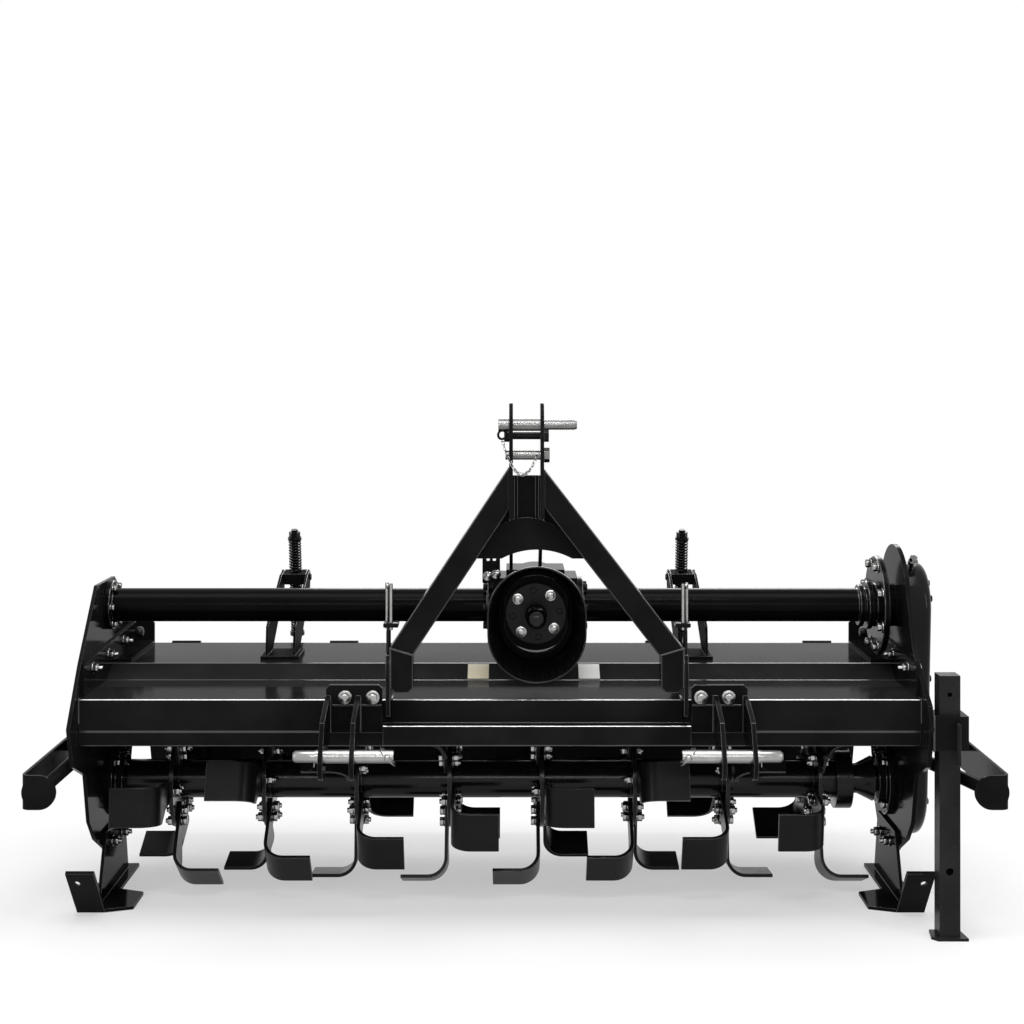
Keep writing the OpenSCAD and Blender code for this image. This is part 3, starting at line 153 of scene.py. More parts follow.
bpy.ops.mesh.primitive_plane_add(size=2 * floor_half)
floor = bpy.context.object
floor.name = "studio_floor"
floor_paper = bpy.data.materials.new("floor_paper")
floor_paper.use_nodes = True
paper = floor_paper.node_tree
paper_shader = paper.nodes["Principled BSDF"]
paper_shader.inputs["Base Color"].default_value = paper_white
paper_shader.inputs["Roughness"].default_value = paper_roughness
glow = paper.nodes.new("ShaderNodeEmission")
glow.inputs["Strength"].default_value = backdrop_light
away = paper.nodes.new("ShaderNodeVectorMath")
away.operation = "LENGTH"
paper.links.new(paper.nodes.new("ShaderNodeTexCoord").outputs["Object"], away.inputs[0])
fade = spread(paper, away.outputs["Value"], 1 - floor_shade, 1, floor_near, floor_far)
shown_as(paper, reckoned(paper, "MULTIPLY", seen_rays(paper), fade), paper_shader, glow, "Material Output")
floor.data.materials.append(floor_paper)

for lamp_name, place, aim, (lamp_w, lamp_h), watts in lamps:
    bpy.ops.object.light_add(type="AREA", location=place)
    lamp = bpy.context.object
    lamp.name = lamp_name
    lamp.rotation_euler = (Vector(place) - Vector(aim)).to_track_quat("Z", "Y").to_euler()
    lamp.data.shape = "RECTANGLE"
    lamp.data.size = lamp_w
    lamp.data.size_y = lamp_h
    lamp.data.energy = watts

# Hood, front beam and angle bar: folded and welded steel sheet under one coat of gloss black powder.
# The coat has a fine orange peel, and every folded or cut edge is a little round and catches light.
merge_gap = 1e-5
flat_turn = math.radians(1)
hard_turn = math.radians(32)
fold_turn = math.radians(6)
hood_edge = 0.002
beam_edge = 0.0025
fold_steps = 3
thin_coat = (0.7, 0.7, 0.72)
thick_coat = (1.35, 1.35, 1.4)
peel_deep = 0.0004
mix_first, mix_second, mix_result = 6, 7, 2


def only(*pieces):
    """Selects these objects and nothing else, the last one active."""
    bpy.ops.object.select_all(action="DESELECT")
    for piece in pieces:
        piece.select_set(True)
    bpy.context.view_layer.objects.active = pieces[-1]


def new_finish(name, slot=None):
    """A node material with its tree and shader, marked with the finish's slot where it has one."""
    material = bpy.data.materials.new(name)
    if slot:
        material["slot"] = slot
    material.use_nodes = True
    tree = material.node_tree
    return material, tree, tree.nodes["Principled BSDF"]


def speckle(tree, scale, detail):
    """Noise on the piece's own coordinates."""
    place = tree.nodes.new("ShaderNodeTexCoord")
    noise = tree.nodes.new("ShaderNodeTexNoise")
    noise.inputs["Scale"].default_value = scale
    noise.inputs["Detail"].default_value = detail
    tree.links.new(place.outputs["Object"], noise.inputs["Vector"])
    return noise.outputs["Fac"]


def tinted(shade, tint):
    """A colour: one shade times each part of the tint."""
    return tuple(shade * part for part in tint)


def two_colours(tree, value, low, high, low_at=0, high_at=1):
    """A ramp from one colour to another over a value."""
    ramp = tree.nodes.new("ShaderNodeValToRGB")
    for stop, colour, at in zip(ramp.color_ramp.elements, (low, high), (low_at, high_at)):
        stop.position = at
        stop.color = (*colour, 1)
    tree.links.new(value, ramp.inputs["Fac"])
    return ramp.outputs["Color"]


def raised(tree, shader, height, strength, distance):
    """Gives a shader a fine relief."""
    bump = tree.nodes.new("ShaderNodeBump")
    bump.inputs["Strength"].default_value = strength
    bump.inputs["Distance"].default_value = distance
    tree.links.new(height, bump.inputs["Height"])
    tree.links.new(bump.outputs["Normal"], shader.inputs["Normal"])


def powder_coat(slot, shade, roughness, gloss, peel, where="finish"):
    """Black powder coat: cloudy shade, uneven gloss and an orange peel of about a millimetre."""
    material, tree, coat = new_finish(slot + "_" + where, slot)
    coat.inputs["Specular IOR Level"].default_value = gloss
    cloud = two_colours(tree, speckle(tree, scale=9, detail=6), tinted(shade, thin_coat),
                        tinted(shade, thick_coat), low_at=0.3, high_at=0.75)
    tree.links.new(cloud, coat.inputs["Base Color"])
    smear = spread(tree, speckle(tree, scale=38, detail=4), low=roughness - 0.05, high=roughness + 0.07)
    tree.links.new(smear, coat.inputs["Roughness"])
    raised(tree, coat, speckle(tree, scale=620, detail=2), peel, peel_deep)
    return material


def painted_highlight_above(material, shade, share):
    """Paints a highlight on the faces of a finish that look up: they turn metallic and pale, as if lit from
    above.
    """
    tree = material.node_tree
    coat = tree.nodes["Principled BSDF"]
    ways = tree.nodes.new("ShaderNodeSeparateXYZ")
    tree.links.new(tree.nodes.new("ShaderNodeNewGeometry").outputs["Normal"], ways.inputs["Vector"])
    above = spread(tree, ways.outputs["Z"], low=0, high=share, start=0.25, end=0.65)
    tree.links.new(above, coat.inputs["Metallic"])
    # Painted highlight: the upward faces blend towards a pale shade.
    highlight_blend = tree.nodes.new("ShaderNodeMix")
    highlight_blend.data_type = "RGBA"
    highlight_blend.inputs[mix_second].default_value = (shade, shade, shade, 1)
    tree.links.new(above, highlight_blend.inputs["Factor"])
    tree.links.new(coat.inputs["Base Color"].links[0].from_socket, highlight_blend.inputs[mix_first])
    tree.links.new(highlight_blend.outputs[mix_result], coat.inputs["Base Color"])


gloss_black = powder_coat("gloss_black", shade=0.007, roughness=0.10, gloss=0.014, peel=0.03)
edge_black = powder_coat("gloss_black", shade=0.010, roughness=0.16, gloss=0.6, peel=0.02, where="edge")
# Fold finish with a painted highlight: its upward faces are made pale and metallic, as if lit from above.
fold_black = powder_coat("gloss_black", shade=0.02, roughness=0.2, gloss=0.6, peel=0.02, where="fold")
painted_highlight_above(fold_black, shade=0.8, share=0.85)
# The hood's black is painted lighter than the gloss black: a painted reflection that stands in for sky light
# on its sloping faces.
hood_black_painted_lighter = powder_coat("gloss_black", shade=0.017, roughness=0.10, gloss=0.007, peel=0.03, where="hood")
beam_black = powder_coat("gloss_black", shade=0.009, roughness=0.12, gloss=0.004, peel=0.04, where="beam")


def rounded(piece, edge, steps=2, turn=hard_turn, edge_slot=-1):
    """Rounds a piece's hard edges by edge metres, in its finish number edge_slot where one is given."""
    only(piece)
    bevel = piece.modifiers.new("round_edges", "BEVEL")
    bevel.width = edge
    bevel.segments = steps
    bevel.limit_method = "ANGLE"
    bevel.angle_limit = turn
    bevel.harden_normals = edge_slot >= 0
    bevel.material = edge_slot
    bpy.ops.object.modifier_apply(modifier=bevel.name)
    return piece


def softened(node, finish, edge, steps=2, turn=hard_turn, edge_finish=edge_black):
    """Stands for a CAD node: its own mesh, merged, with its hard edges rounded by edge metres."""
    only(frame["nodes"][node])
    bpy.ops.object.duplicate()
    piece = bpy.context.object
    piece.name = node + "_finished"
    body = piece["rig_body"]
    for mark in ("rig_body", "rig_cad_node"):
        del piece[mark]
    piece.parent = None
    bpy.ops.object.mode_set(mode="EDIT")
    bpy.ops.mesh.select_all(action="SELECT")
    bpy.ops.mesh.customdata_custom_splitnormals_clear()
    bpy.ops.mesh.remove_doubles(threshold=merge_gap)
    bpy.ops.mesh.dissolve_limited(angle_limit=flat_turn)
    bpy.ops.object.mode_set(mode="OBJECT")
    bpy.ops.object.shade_smooth_by_angle(angle=turn)
    piece.data.materials.clear()
    piece.data.materials.append(finish)
    if "black" in finish["slot"]:
        piece.data.materials.append(edge_finish)
    rounded(piece, edge, steps, turn, len(piece.data.materials) - 1)
    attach(piece, body)
    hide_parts(node)
    return piece


softened("hood", hood_black_painted_lighter, hood_edge, fold_steps, fold_turn)
for folded in ("front_beam", "beam_angle"):
    softened(folded, beam_black, beam_edge, fold_steps, fold_turn, fold_black)

# Side plates and corner angles: flame-cut steel plate, bolted to the hood and painted with it.
# Zinc bolts hold the angles to the plates, and a black knob closes each angle's rear hole.
plate_edge = 0.0015
tube_z = 0.660
left_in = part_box("side_plate_left")[1].x
left_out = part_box("side_plate_left")[0].x
right_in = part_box("side_plate_right")[0].x
right_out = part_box("side_plate_right")[1].x
angle_t = 0.006
angle_bolts = [(-0.176, 0.546), (-0.028, 0.551), (0.123, 0.557)]
knob_at = (0.200, 0.566)
knob_outline = [(0.005, 0), (0.005, 0.010), (0.010, 0.012), (0.013, 0.018), (0.013, 0.024),
                (0.010, 0.030), (0.004, 0.032)]
bolt_across = 0.017
bolt_head = 0.010
bolt_washer = 0.027
bolt_stud = 0.010
zinc_dark = (0.7, 0.7, 0.68)
zinc_light = (1.2, 1.2, 1.18)
# Painted shade on zinc: full colour where it faces the view, near black where it turns away.
zinc_facing = (1, 1, 1)
zinc_grazing_painted_shade = (0.07, 0.07, 0.07)
right_way = (1, 0, 0)
left_way = (-1, 0, 0)
front_way = (0, -1, 0)

for plate in ("side_plate_left", "side_plate_right", "corner_bracket_left", "corner_bracket_right"):
    softened(plate, gloss_black, plate_edge)


def plated_steel(slot, shade, roughness, where="finish"):
    """Zinc plate: bright and a little cloudy, with fine turning marks; painted shade darkens it where it
    turns away from the view, as if it reflected a dark room.
    """
    material, tree, metal = new_finish(slot + "_" + where, slot)
    metal.inputs["Metallic"].default_value = 1
    cloud = speckle(tree, scale=60, detail=6)
    facing = tree.nodes.new("ShaderNodeLayerWeight").outputs["Facing"]
    shaded = tree.nodes.new("ShaderNodeMix")
    shaded.data_type = "RGBA"
    shaded.blend_type = "MULTIPLY"
    shaded.inputs["Factor"].default_value = 1
    clouded = two_colours(tree, cloud, tinted(shade, zinc_dark), tinted(shade, zinc_light))
    tree.links.new(clouded, shaded.inputs[mix_first])
    # Painted reflection: the colour falls to near black at grazing angles, as if the zinc reflected a dark
    # room.
    painted_grazing_shade = two_colours(tree, facing, zinc_facing, zinc_grazing_painted_shade, low_at=0.10, high_at=0.72)
    tree.links.new(painted_grazing_shade, shaded.inputs[mix_second])
    tree.links.new(shaded.outputs[mix_result], metal.inputs["Base Color"])
    rough = spread(tree, cloud, low=roughness - 0.08, high=roughness + 0.1)
    tree.links.new(rough, metal.inputs["Roughness"])
    raised(tree, metal, speckle(tree, scale=900, detail=3), strength=0.12, distance=0.0002)
    return material


zinc_plate = plated_steel("zinc_plate", shade=0.38, roughness=0.22)
black_plastic = powder_coat("black_plastic", shade=0.006, roughness=0.36, gloss=0.2, peel=0.12)


def turned(outline, sides=32):
    """A round piece up +Z: one ring for each (radius, height) of the outline, closed at both ends."""
    bpy.ops.object.select_all(action="DESELECT")
    (radius, height), *rest = outline
    bpy.ops.mesh.primitive_circle_add(vertices=sides, radius=radius, fill_type="NGON",
                                      location=(0, 0, height))
    piece = bpy.context.object
    bpy.ops.object.transform_apply()
    bpy.ops.object.mode_set(mode="EDIT")
    for next_radius, next_height in rest:
        bpy.ops.mesh.extrude_region_move(TRANSFORM_OT_translate={"value": (0, 0, next_height - height)})
        bpy.ops.transform.resize(value=(next_radius / radius, next_radius / radius, 1),
                                 center_override=(0, 0, next_height))
        radius, height = next_radius, next_height
    bpy.ops.mesh.select_all(action="SELECT")
    bpy.ops.mesh.normals_make_consistent(inside=False)
    bpy.ops.object.mode_set(mode="OBJECT")
    return piece


def hex_bolt(across, head, washer, stud=0):
    """Hexagon head on a round washer up +Z, with the end of its stud where one shows."""
    washer_t = head / 4
    corner = across / math.sqrt(3)
    stud_r = across * 0.3
    edge = head / 9
    bolt = turned([(washer / 2, 0), (washer / 2, washer_t)])
    bpy.ops.object.mode_set(mode="EDIT")
    bpy.ops.mesh.select_all(action="DESELECT")
    bpy.ops.mesh.primitive_cylinder_add(vertices=6, radius=corner, depth=head,
                                        location=(0, 0, washer_t + head / 2))
    if stud:
        bpy.ops.mesh.primitive_cylinder_add(vertices=16, radius=stud_r, depth=head + stud,
                                            location=(0, 0, washer_t + (head + stud) / 2))
    bpy.ops.object.mode_set(mode="OBJECT")
    return rounded(bolt, edge)


def dressed(piece, name, body, finish):
    """Gives a new piece its name, finish and body, with its place in its mesh and round faces smooth."""
    only(piece)
    bpy.ops.object.transform_apply()
    bpy.ops.object.shade_smooth_by_angle(angle=hard_turn)
    piece.name = name
    piece.data.materials.clear()
    piece.data.materials.append(finish)
    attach(piece, body)
    return piece


def fitted(pattern, places, name, body, finish):
    """Joins copies of one pattern, set at (point, way[, roll]) places with its +Z turned that way."""
    copies = [pattern]
    for _ in places[1:]:
        only(pattern)
        bpy.ops.object.duplicate()
        copies.append(bpy.context.object)
    for copy, (point, way, *roll) in zip(copies, places):
        spin = Quaternion((0, 0, 1), roll[0] if roll else 0)
        copy.location = point
        copy.rotation_euler = (Vector(way).to_track_quat("Z", "Y") @ spin).to_euler()
    only(*copies)
    bpy.ops.object.join()
    return dressed(bpy.context.object, name, body, finish)


fitted(hex_bolt(bolt_across, bolt_head, bolt_washer, bolt_stud),
       [((left_in + angle_t, y, z), right_way) for y, z in angle_bolts]
       + [((right_in - angle_t, y, z), left_way) for y, z in angle_bolts],
       "corner_angle_nuts", "frame", zinc_plate)
fitted(hex_bolt(bolt_across, bolt_head, bolt_washer),
       [((left_out, y, z), left_way) for y, z in angle_bolts]
       + [((right_out, *angle_bolts[0]), right_way)],
       "corner_angle_bolts", "frame", zinc_plate)
fitted(turned(knob_outline),
       [((left_in + angle_t, *knob_at), right_way), ((right_in - angle_t, *knob_at), left_way)],
       "corner_knobs", "frame", black_plastic)

# Stickers on the hood's step: two blank printed labels of self-adhesive film, one cream and one white.
# They are stuck flat on the sloping sheet, one on each side of the gearbox's middle.
step_middle = (-0.022, 0.5105)
step_normal = (0, -0.473, 0.881)
sticker_size = (0.048, 0.052, 0.0006)
sticker_edge = 0.0002
film_roughness = 0.35
film_mottle = 0.94
stickers = {"sticker_cream": (-0.084, (0.66, 0.60, 0.44)), "sticker_white": (0.169, (0.74, 0.74, 0.72))}


def printed_paper(name, colour):
    """Blank label stock: one colour, faintly mottled, under a thin clear film."""
    material, tree, film = new_finish(name)
    film.inputs["Roughness"].default_value = film_roughness
    mottle = two_colours(tree, speckle(tree, scale=140, detail=2), tinted(film_mottle, colour), colour)
    tree.links.new(mottle, film.inputs["Base Color"])
    return material


def flat_plate(corner, size):
    """A plate from its lowest corner, at its place."""
    bpy.ops.object.select_all(action="DESELECT")
    bpy.ops.mesh.primitive_cube_add(size=1, location=Vector(corner) + Vector(size) / 2, scale=size)
    bpy.ops.object.transform_apply()
    return bpy.context.object


for sticker, (sticker_x, colour) in stickers.items():
    label = flat_plate((-sticker_size[0] / 2, -sticker_size[1] / 2, 0), sticker_size)
    fitted(rounded(label, sticker_edge), [((sticker_x, *step_middle), step_normal)], sticker, "frame",
           printed_paper(sticker, colour))

# Cross tube and gearbox: two drawn tubes with turned flanges, bolted to a cast housing in the middle.
# The dished guard is pressed sheet with a folded neck, and the splined shaft wears a black moulded cap.
# A thin turned plate with four plugs and four bolts closes the housing's front bearing.
cast_edge = 0.0025
thin_edge = 0.0008
spline_edge = 0.0006
gear_x = 0.046
flange_t = 0.014
end_flange_face = left_in + flange_t
end_bolt_r = 0.047
gear_flange_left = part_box("cross_tube_left")[1].x - flange_t
gear_flange_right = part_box("cross_tube_right")[0].x + flange_t
gear_bolt_r = 0.051
flange_bolt_n = 6
hub_deep = 0.043
hub_face = right_in - hub_deep
hub_bolt_r = 0.098
hub_bolt_n = 8
small_across = 0.013
small_head = 0.008
small_washer = 0.017
cover_face = -0.140
cover_bolt_r = 0.052
cover_turn = math.radians(6)
cover_across = 0.016
cover_head = 0.007
cover_washer = 0.025
cover_outline = [(0.067, 0), (0.067, 0.0008), (0.0664, 0.0013), (0.022, 0.0013)]
cover_sides = 72
cover_bolts_from = 45
cover_plugs_from = 0
plug_outline = [(0.0075, 0), (0.0075, 0.0016), (0.0055, 0.0016), (0.0050, 0.0004)]
bowl_drop = 0.0185
bowl_steps = 40
bowl_fold = ((0.0700, -0.1460), (0.0740, -0.1482), (0.0780, -0.1522), (0.0808, -0.1580), (0.0816, -0.1630),
             (0.0816, -0.1600), (0.0800, -0.1460))

tube_black = powder_coat("gloss_black", shade=0.002, roughness=0.2, gloss=0.035, peel=0.03, where="tube")
guard_black = powder_coat("gloss_black", shade=0.003, roughness=0.12, gloss=0.08, peel=0.02, where="guard")
bowl_black = powder_coat("gloss_black", shade=0.004, roughness=0.14, gloss=0.6, peel=0.02, where="bowl")
cover_black = powder_coat("gloss_black", shade=0.022, roughness=0.3, gloss=0.1, peel=0.04, where="cover")
cap_plastic = powder_coat("black_plastic", shade=0.003, roughness=0.14, gloss=0.25, peel=0.02, where="cap")
satin_black = powder_coat("satin_black", shade=0.006, roughness=0.30, gloss=0.12, peel=0.08)
for tube in ("cross_tube_left", "cross_tube_right"):
    softened(tube, tube_black, cast_edge)
softened("gearbox", gloss_black, cast_edge)
softened("shaft_guard", guard_black, thin_edge, edge_finish=bowl_black)
softened("pto_shaft", zinc_plate, spline_edge)
softened("pto_cap", cap_plastic, thin_edge, edge_finish=cap_plastic)


def ring_x(x, radius, count, middle=(0, tube_z), first=0):
    """Points evenly round an axis along X."""
    turns = [first + 2 * math.pi * i / count for i in range(count)]
    return [(x, middle[0] + radius * math.cos(t), middle[1] + radius * math.sin(t)) for t in turns]


def cover_ring(first):
    """Four places round the bearing cover's front, from a first angle in degrees."""
    turns = [cover_turn + math.radians(first + 90 * i) for i in range(4)]
    return [((gear_x + cover_bolt_r * math.cos(t), cover_face, tube_z + cover_bolt_r * math.sin(t)),
             front_way) for t in turns]


fitted(hex_bolt(small_across, small_head, small_washer),
       [(point, right_way) for point in ring_x(end_flange_face, end_bolt_r, flange_bolt_n)],
       "tube_end_bolts", "frame", zinc_plate)
fitted(hex_bolt(bolt_across, bolt_head, bolt_washer),
       [(point, left_way) for point in ring_x(hub_face, hub_bolt_r, hub_bolt_n, first=math.pi / hub_bolt_n)],
       "hub_bolts", "frame", zinc_plate)
fitted(hex_bolt(small_across, small_head, small_washer),
       [(point, left_way) for point in ring_x(gear_flange_left, gear_bolt_r, flange_bolt_n)]
       + [(point, right_way) for point in ring_x(gear_flange_right, gear_bolt_r, flange_bolt_n)],
       "gearbox_bolts", "frame", satin_black)
fitted(turned(cover_outline, cover_sides), [((gear_x, cover_face, tube_z), front_way)],
       "cover_plate", "frame", cover_black)
fitted(hex_bolt(cover_across, cover_head, cover_washer), cover_ring(cover_bolts_from),
       "cover_bolts", "frame", zinc_plate)
fitted(turned(plug_outline), cover_ring(cover_plugs_from), "cover_plugs", "frame", guard_black)

bpy.ops.object.select_all(action="DESELECT")
bpy.ops.mesh.primitive_circle_add(vertices=len(bowl_fold), fill_type="NGON")
bowl = bpy.context.object
for corner, (r, y) in zip(bowl.data.vertices, bowl_fold):
    corner.co = (gear_x - r, y, tube_z - bowl_drop)
bpy.ops.object.mode_set(mode="EDIT")
bpy.ops.mesh.select_all(action="SELECT")
for half in (-1, 1):
    bpy.ops.mesh.spin(steps=bowl_steps, angle=math.pi, center=(gear_x, 0, tube_z + half * bowl_drop),
                      axis=(0, 1, 0))
    bpy.ops.mesh.extrude_region_move(TRANSFORM_OT_translate={"value": (0, 0, -half * 2 * bowl_drop)})
bpy.ops.mesh.select_all(action="SELECT")
bpy.ops.mesh.remove_doubles(threshold=merge_gap)
bpy.ops.mesh.select_all(action="DESELECT")
bpy.ops.mesh.select_interior_faces()
bpy.ops.mesh.delete(type="FACE")
bpy.ops.mesh.select_all(action="SELECT")
bpy.ops.mesh.normals_make_consistent(inside=False)
bpy.ops.object.mode_set(mode="OBJECT")
dressed(bowl, "guard_bowl", "frame", bowl_black)

# Bracket beside the gearbox: a small steel plate with two slots cut through its upper half.
# It is painted black and held on the tube's flange by two zinc bolts.
bracket_low = (-0.074, -0.064, 0.718)
bracket_size = (0.040, 0.008, 0.082)
bracket_edge = 0.0012
slot_size = (0.007, 0.024)
slot_xs = (0.013, 0.027)
slot_up = 0.05
slot_past = 0.01
slot_deep = 0.03
bracket_washer = 0.022
bracket_stud = 0.006
bracket_bolts = ((0.012, 0.016), (0.031, 0.020))

bracket = flat_plate(bracket_low, bracket_size)
for slot_x in slot_xs:
    slot_low = (bracket_low[0] + slot_x - slot_size[0] / 2, bracket_low[1] - slot_past,
                bracket_low[2] + slot_up)
    slot_cut = flat_plate(slot_low, (slot_size[0], slot_deep, slot_size[1]))
    only(bracket)
    cut = bracket.modifiers.new("slot", "BOOLEAN")
    cut.object = slot_cut
    bpy.ops.object.modifier_apply(modifier=cut.name)
    only(slot_cut)
    bpy.ops.object.delete()
dressed(rounded(bracket, bracket_edge), "gearbox_bracket", "frame", gloss_black)
fitted(hex_bolt(bolt_across, bolt_head, bracket_washer, bracket_stud),
       [((bracket_low[0] + x, bracket_low[1], bracket_low[2] + z), front_way) for x, z in bracket_bolts],
       "bracket_bolts", "frame", zinc_plate)

# Side drive case: a pressed pan over the drive chain, bolted round its edge to the right side plate,
# with a zinc filler plug in its upper edge.
case_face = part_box("drive_case")[1].x
case_edge = 0.0015
rotor_at = (0.060, 0.247)
case_upper_r = 0.066
case_lower_r = 0.092
case_upper_from = 20
case_lower_from = -160
case_bolt_step = 35
case_round_n = 5
case_flanks = [(-0.052, 0.50), (-0.034, 0.38), (0.094, 0.52), (0.134, 0.38)]
case_head = 0.005
case_black = powder_coat("gloss_black", shade=0.006, roughness=0.11, gloss=0.12, peel=0.03, where="case")
softened("drive_case", case_black, case_edge)
softened("case_plug", zinc_plate, thin_edge)


def case_round(middle, radius, first):
    """Bolt places round one end of the case, from a first angle in degrees."""
    turns = [math.radians(first + case_bolt_step * i) for i in range(case_round_n)]
    return [(middle[0] + radius * math.cos(t), middle[1] + radius * math.sin(t)) for t in turns]


case_ring = case_round((0, tube_z), case_upper_r, case_upper_from)
case_ring += case_round(rotor_at, case_lower_r, case_lower_from)
case_ring += case_flanks
fitted(hex_bolt(small_across, case_head, small_washer),
       [((case_face, y, z), right_way) for y, z in case_ring],
       "case_bolts", "frame", satin_black)

# Rotor: a tube with welded flanges, turning in two cast housings, and handed tines of forged flat
# steel bolted on both sides of every flange. The tines are dipped in a duller black.
flange_n = 8
flange_half = 0.005
flange_from_left = 0.152
flange_from_right = 0.174
first_flange = left_in + flange_from_left
last_flange = right_in - flange_from_right
flange_pitch = (last_flange - first_flange) / (flange_n - 1)
flange_turn = 15
tine_t = 0.008
tine_n = 3
tine_turn = 360 // tine_n
first_turn = {1: 153, -1: 93}
tine_bolt_rs = (0.073, 0.098)
large_across = 0.019
tine_head = 0.010
tine_nut = 0.011
tine_washer = 0.024
tine_stud = 0.005
tine_edge = 0.0012
housing_t = 0.012
housing_edge = 0.002
housing_bolt_r = 0.069
housing_bolt_n = 4
housing_washer = 0.024
rotor_black = powder_coat("satin_black", shade=0.005, roughness=0.18, gloss=0.2, peel=0.03, where="rotor")
softened("rotor_shaft", rotor_black, tine_edge)
for tines in ("tines_right_hand", "tines_left_hand"):
    softened(tines, satin_black, tine_edge)
for housing in ("bearing_left", "bearing_right"):
    softened(housing, gloss_black, housing_edge)

tine_heads = []
tine_nuts = []
for hand in (1, -1):
    for i in range(flange_n):
        flange_x = first_flange + i * flange_pitch
        for k in range(tine_n):
            turn = math.radians(first_turn[hand] - flange_turn * i + tine_turn * k)
            for r in tine_bolt_rs:
                y = rotor_at[0] - r * math.sin(turn)
                z = rotor_at[1] + r * math.cos(turn)
                tine_heads.append(((flange_x + hand * (flange_half + tine_t), y, z), (hand, 0, 0)))
                tine_nuts.append(((flange_x - hand * flange_half, y, z), (-hand, 0, 0)))
fitted(hex_bolt(large_across, tine_head, tine_washer), tine_heads, "tine_bolts", "rotor", zinc_plate)
fitted(hex_bolt(large_across, tine_nut, tine_washer, tine_stud), tine_nuts, "tine_nuts", "rotor", zinc_plate)


def housing_ring(x, way):
    """Bolt places round a bearing housing, on the face at x."""
    ring = ring_x(x, housing_bolt_r, housing_bolt_n, rotor_at, math.pi / housing_bolt_n)
    return [(point, way) for point in ring]


fitted(hex_bolt(bolt_across, bolt_head, housing_washer),
       housing_ring(left_in + housing_t, right_way) + housing_ring(right_in - housing_t, left_way)
       + housing_ring(left_out, left_way),
       "housing_bolts", "frame", zinc_plate)

# A-frame: square tube legs on foot lugs, a bent gusset and two mast plates braced back to the gearbox,
# all welded and painted. Zinc pins cross the mast, and a short chain hangs across its front.
lug_out = 0.310
lug_xs = {side: gear_x + side * lug_out for side in (-1, 1)}
leg_edge = 0.004
leg_steps = 4
leg_front = -0.3205
foot_top_out, foot_top_in = 0.612, 0.598
foot_block = 0.048
foot_low = 0.530
foot_front, foot_back = -0.280, -0.242
foot_t = 0.010
beam_top = 0.497
aframe_bead = 0.0028
pin_low, pin_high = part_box("top_link_pin")
stop_low, stop_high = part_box("mast_pin")
mast_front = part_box("mast_plate_left")[0].y
ring_in = 0.008
ring_drop = 0.008
ring_hang = 0.012
pin_ring = Vector((pin_low.x + ring_in, (pin_low.y + pin_high.y) / 2, pin_low.z - ring_drop))
ring_way = (0.3, 0, 1)
ring_size = (0.024, 0.022, 0.005)
quarter_turn = math.radians(90)
chain_clear = 0.030
chain_start = pin_ring - Vector((0, 0, ring_hang))
chain_pull = Vector((0.010, 2 * mast_front - pin_ring.y - chain_clear, 0.930))
chain_end = Vector((gear_x, stop_low.y, (stop_low.z + stop_high.z) / 2))
link_n = 20
link_size = (0.013, 0.008, 0.0018)
for member in ("aframe_leg_left", "aframe_leg_right"):
    softened(member, gloss_black, leg_edge, leg_steps)
for member in ("foot_lug_left", "foot_lug_right", "aframe_gusset", "mast_web", "mast_plate_left",
               "mast_plate_right", "mast_brace_left", "mast_brace_right"):
    softened(member, gloss_black, plate_edge)
dark_zinc = plated_steel("zinc_plate", shade=0.20, roughness=0.26, where="mast")
for pin in ("top_link_pin", "mast_pin"):
    softened(pin, dark_zinc, thin_edge)
softened("mast_bolt", satin_black, thin_edge)


def weld_bead(start, end, radius):
    """A weld from start to end: a row of overlapping beads."""
    along = Vector(end) - Vector(start)
    pitch = radius * 0.8
    bpy.ops.object.select_all(action="DESELECT")
    bpy.ops.mesh.primitive_uv_sphere_add(segments=10, ring_count=6, radius=radius)
    bead = bpy.context.object
    row = bead.modifiers.new("row", "ARRAY")
    row.use_relative_offset = False
    row.use_constant_offset = True
    row.constant_offset_displace = (0, 0, pitch)
    row.fit_type = "FIT_LENGTH"
    row.fit_length = along.length
    bpy.ops.object.modifier_apply(modifier=row.name)
    bead.location = start
    bead.rotation_euler = along.to_track_quat("Z", "Y").to_euler()
    return bead


def welded(runs, radius, name, finish):
    """Lays a weld along every (start, end) run and joins them as one piece on the frame."""
    beads = [weld_bead(start, end, radius) for start, end in runs]
    only(*beads)
    bpy.ops.object.join()
    return dressed(bpy.context.object, name, "frame", finish)


aframe_runs = []
for side in (-1, 1):
    lug_x = lug_xs[side]
    foot_corner = (lug_x, leg_front, foot_top_out)
    aframe_runs.append((foot_corner, (lug_x - side * foot_block, leg_front, foot_top_in)))
    aframe_runs.append((foot_corner, (lug_x, leg_front, foot_low)))
    for face_x in (lug_x + side * foot_t, lug_x):
        aframe_runs.append(((face_x, foot_front, beam_top), (face_x, foot_back, beam_top)))
welded(aframe_runs, aframe_bead, "aframe_welds", edge_black)


def chain_link(length, width, wire):
    """One oval link along +Z."""
    bpy.ops.object.select_all(action="DESELECT")
    bpy.ops.mesh.primitive_torus_add(major_segments=18, minor_segments=8, major_radius=(width - wire) / 2,
                                     minor_radius=wire / 2, rotation=(quarter_turn, 0, 0))
    link = bpy.context.object
    bpy.ops.object.transform_apply()
    bpy.ops.object.mode_set(mode="EDIT")
    bpy.ops.mesh.select_all(action="SELECT")
    bpy.ops.transform.resize(value=(1, 1, length / width))
    bpy.ops.object.mode_set(mode="OBJECT")
    return link


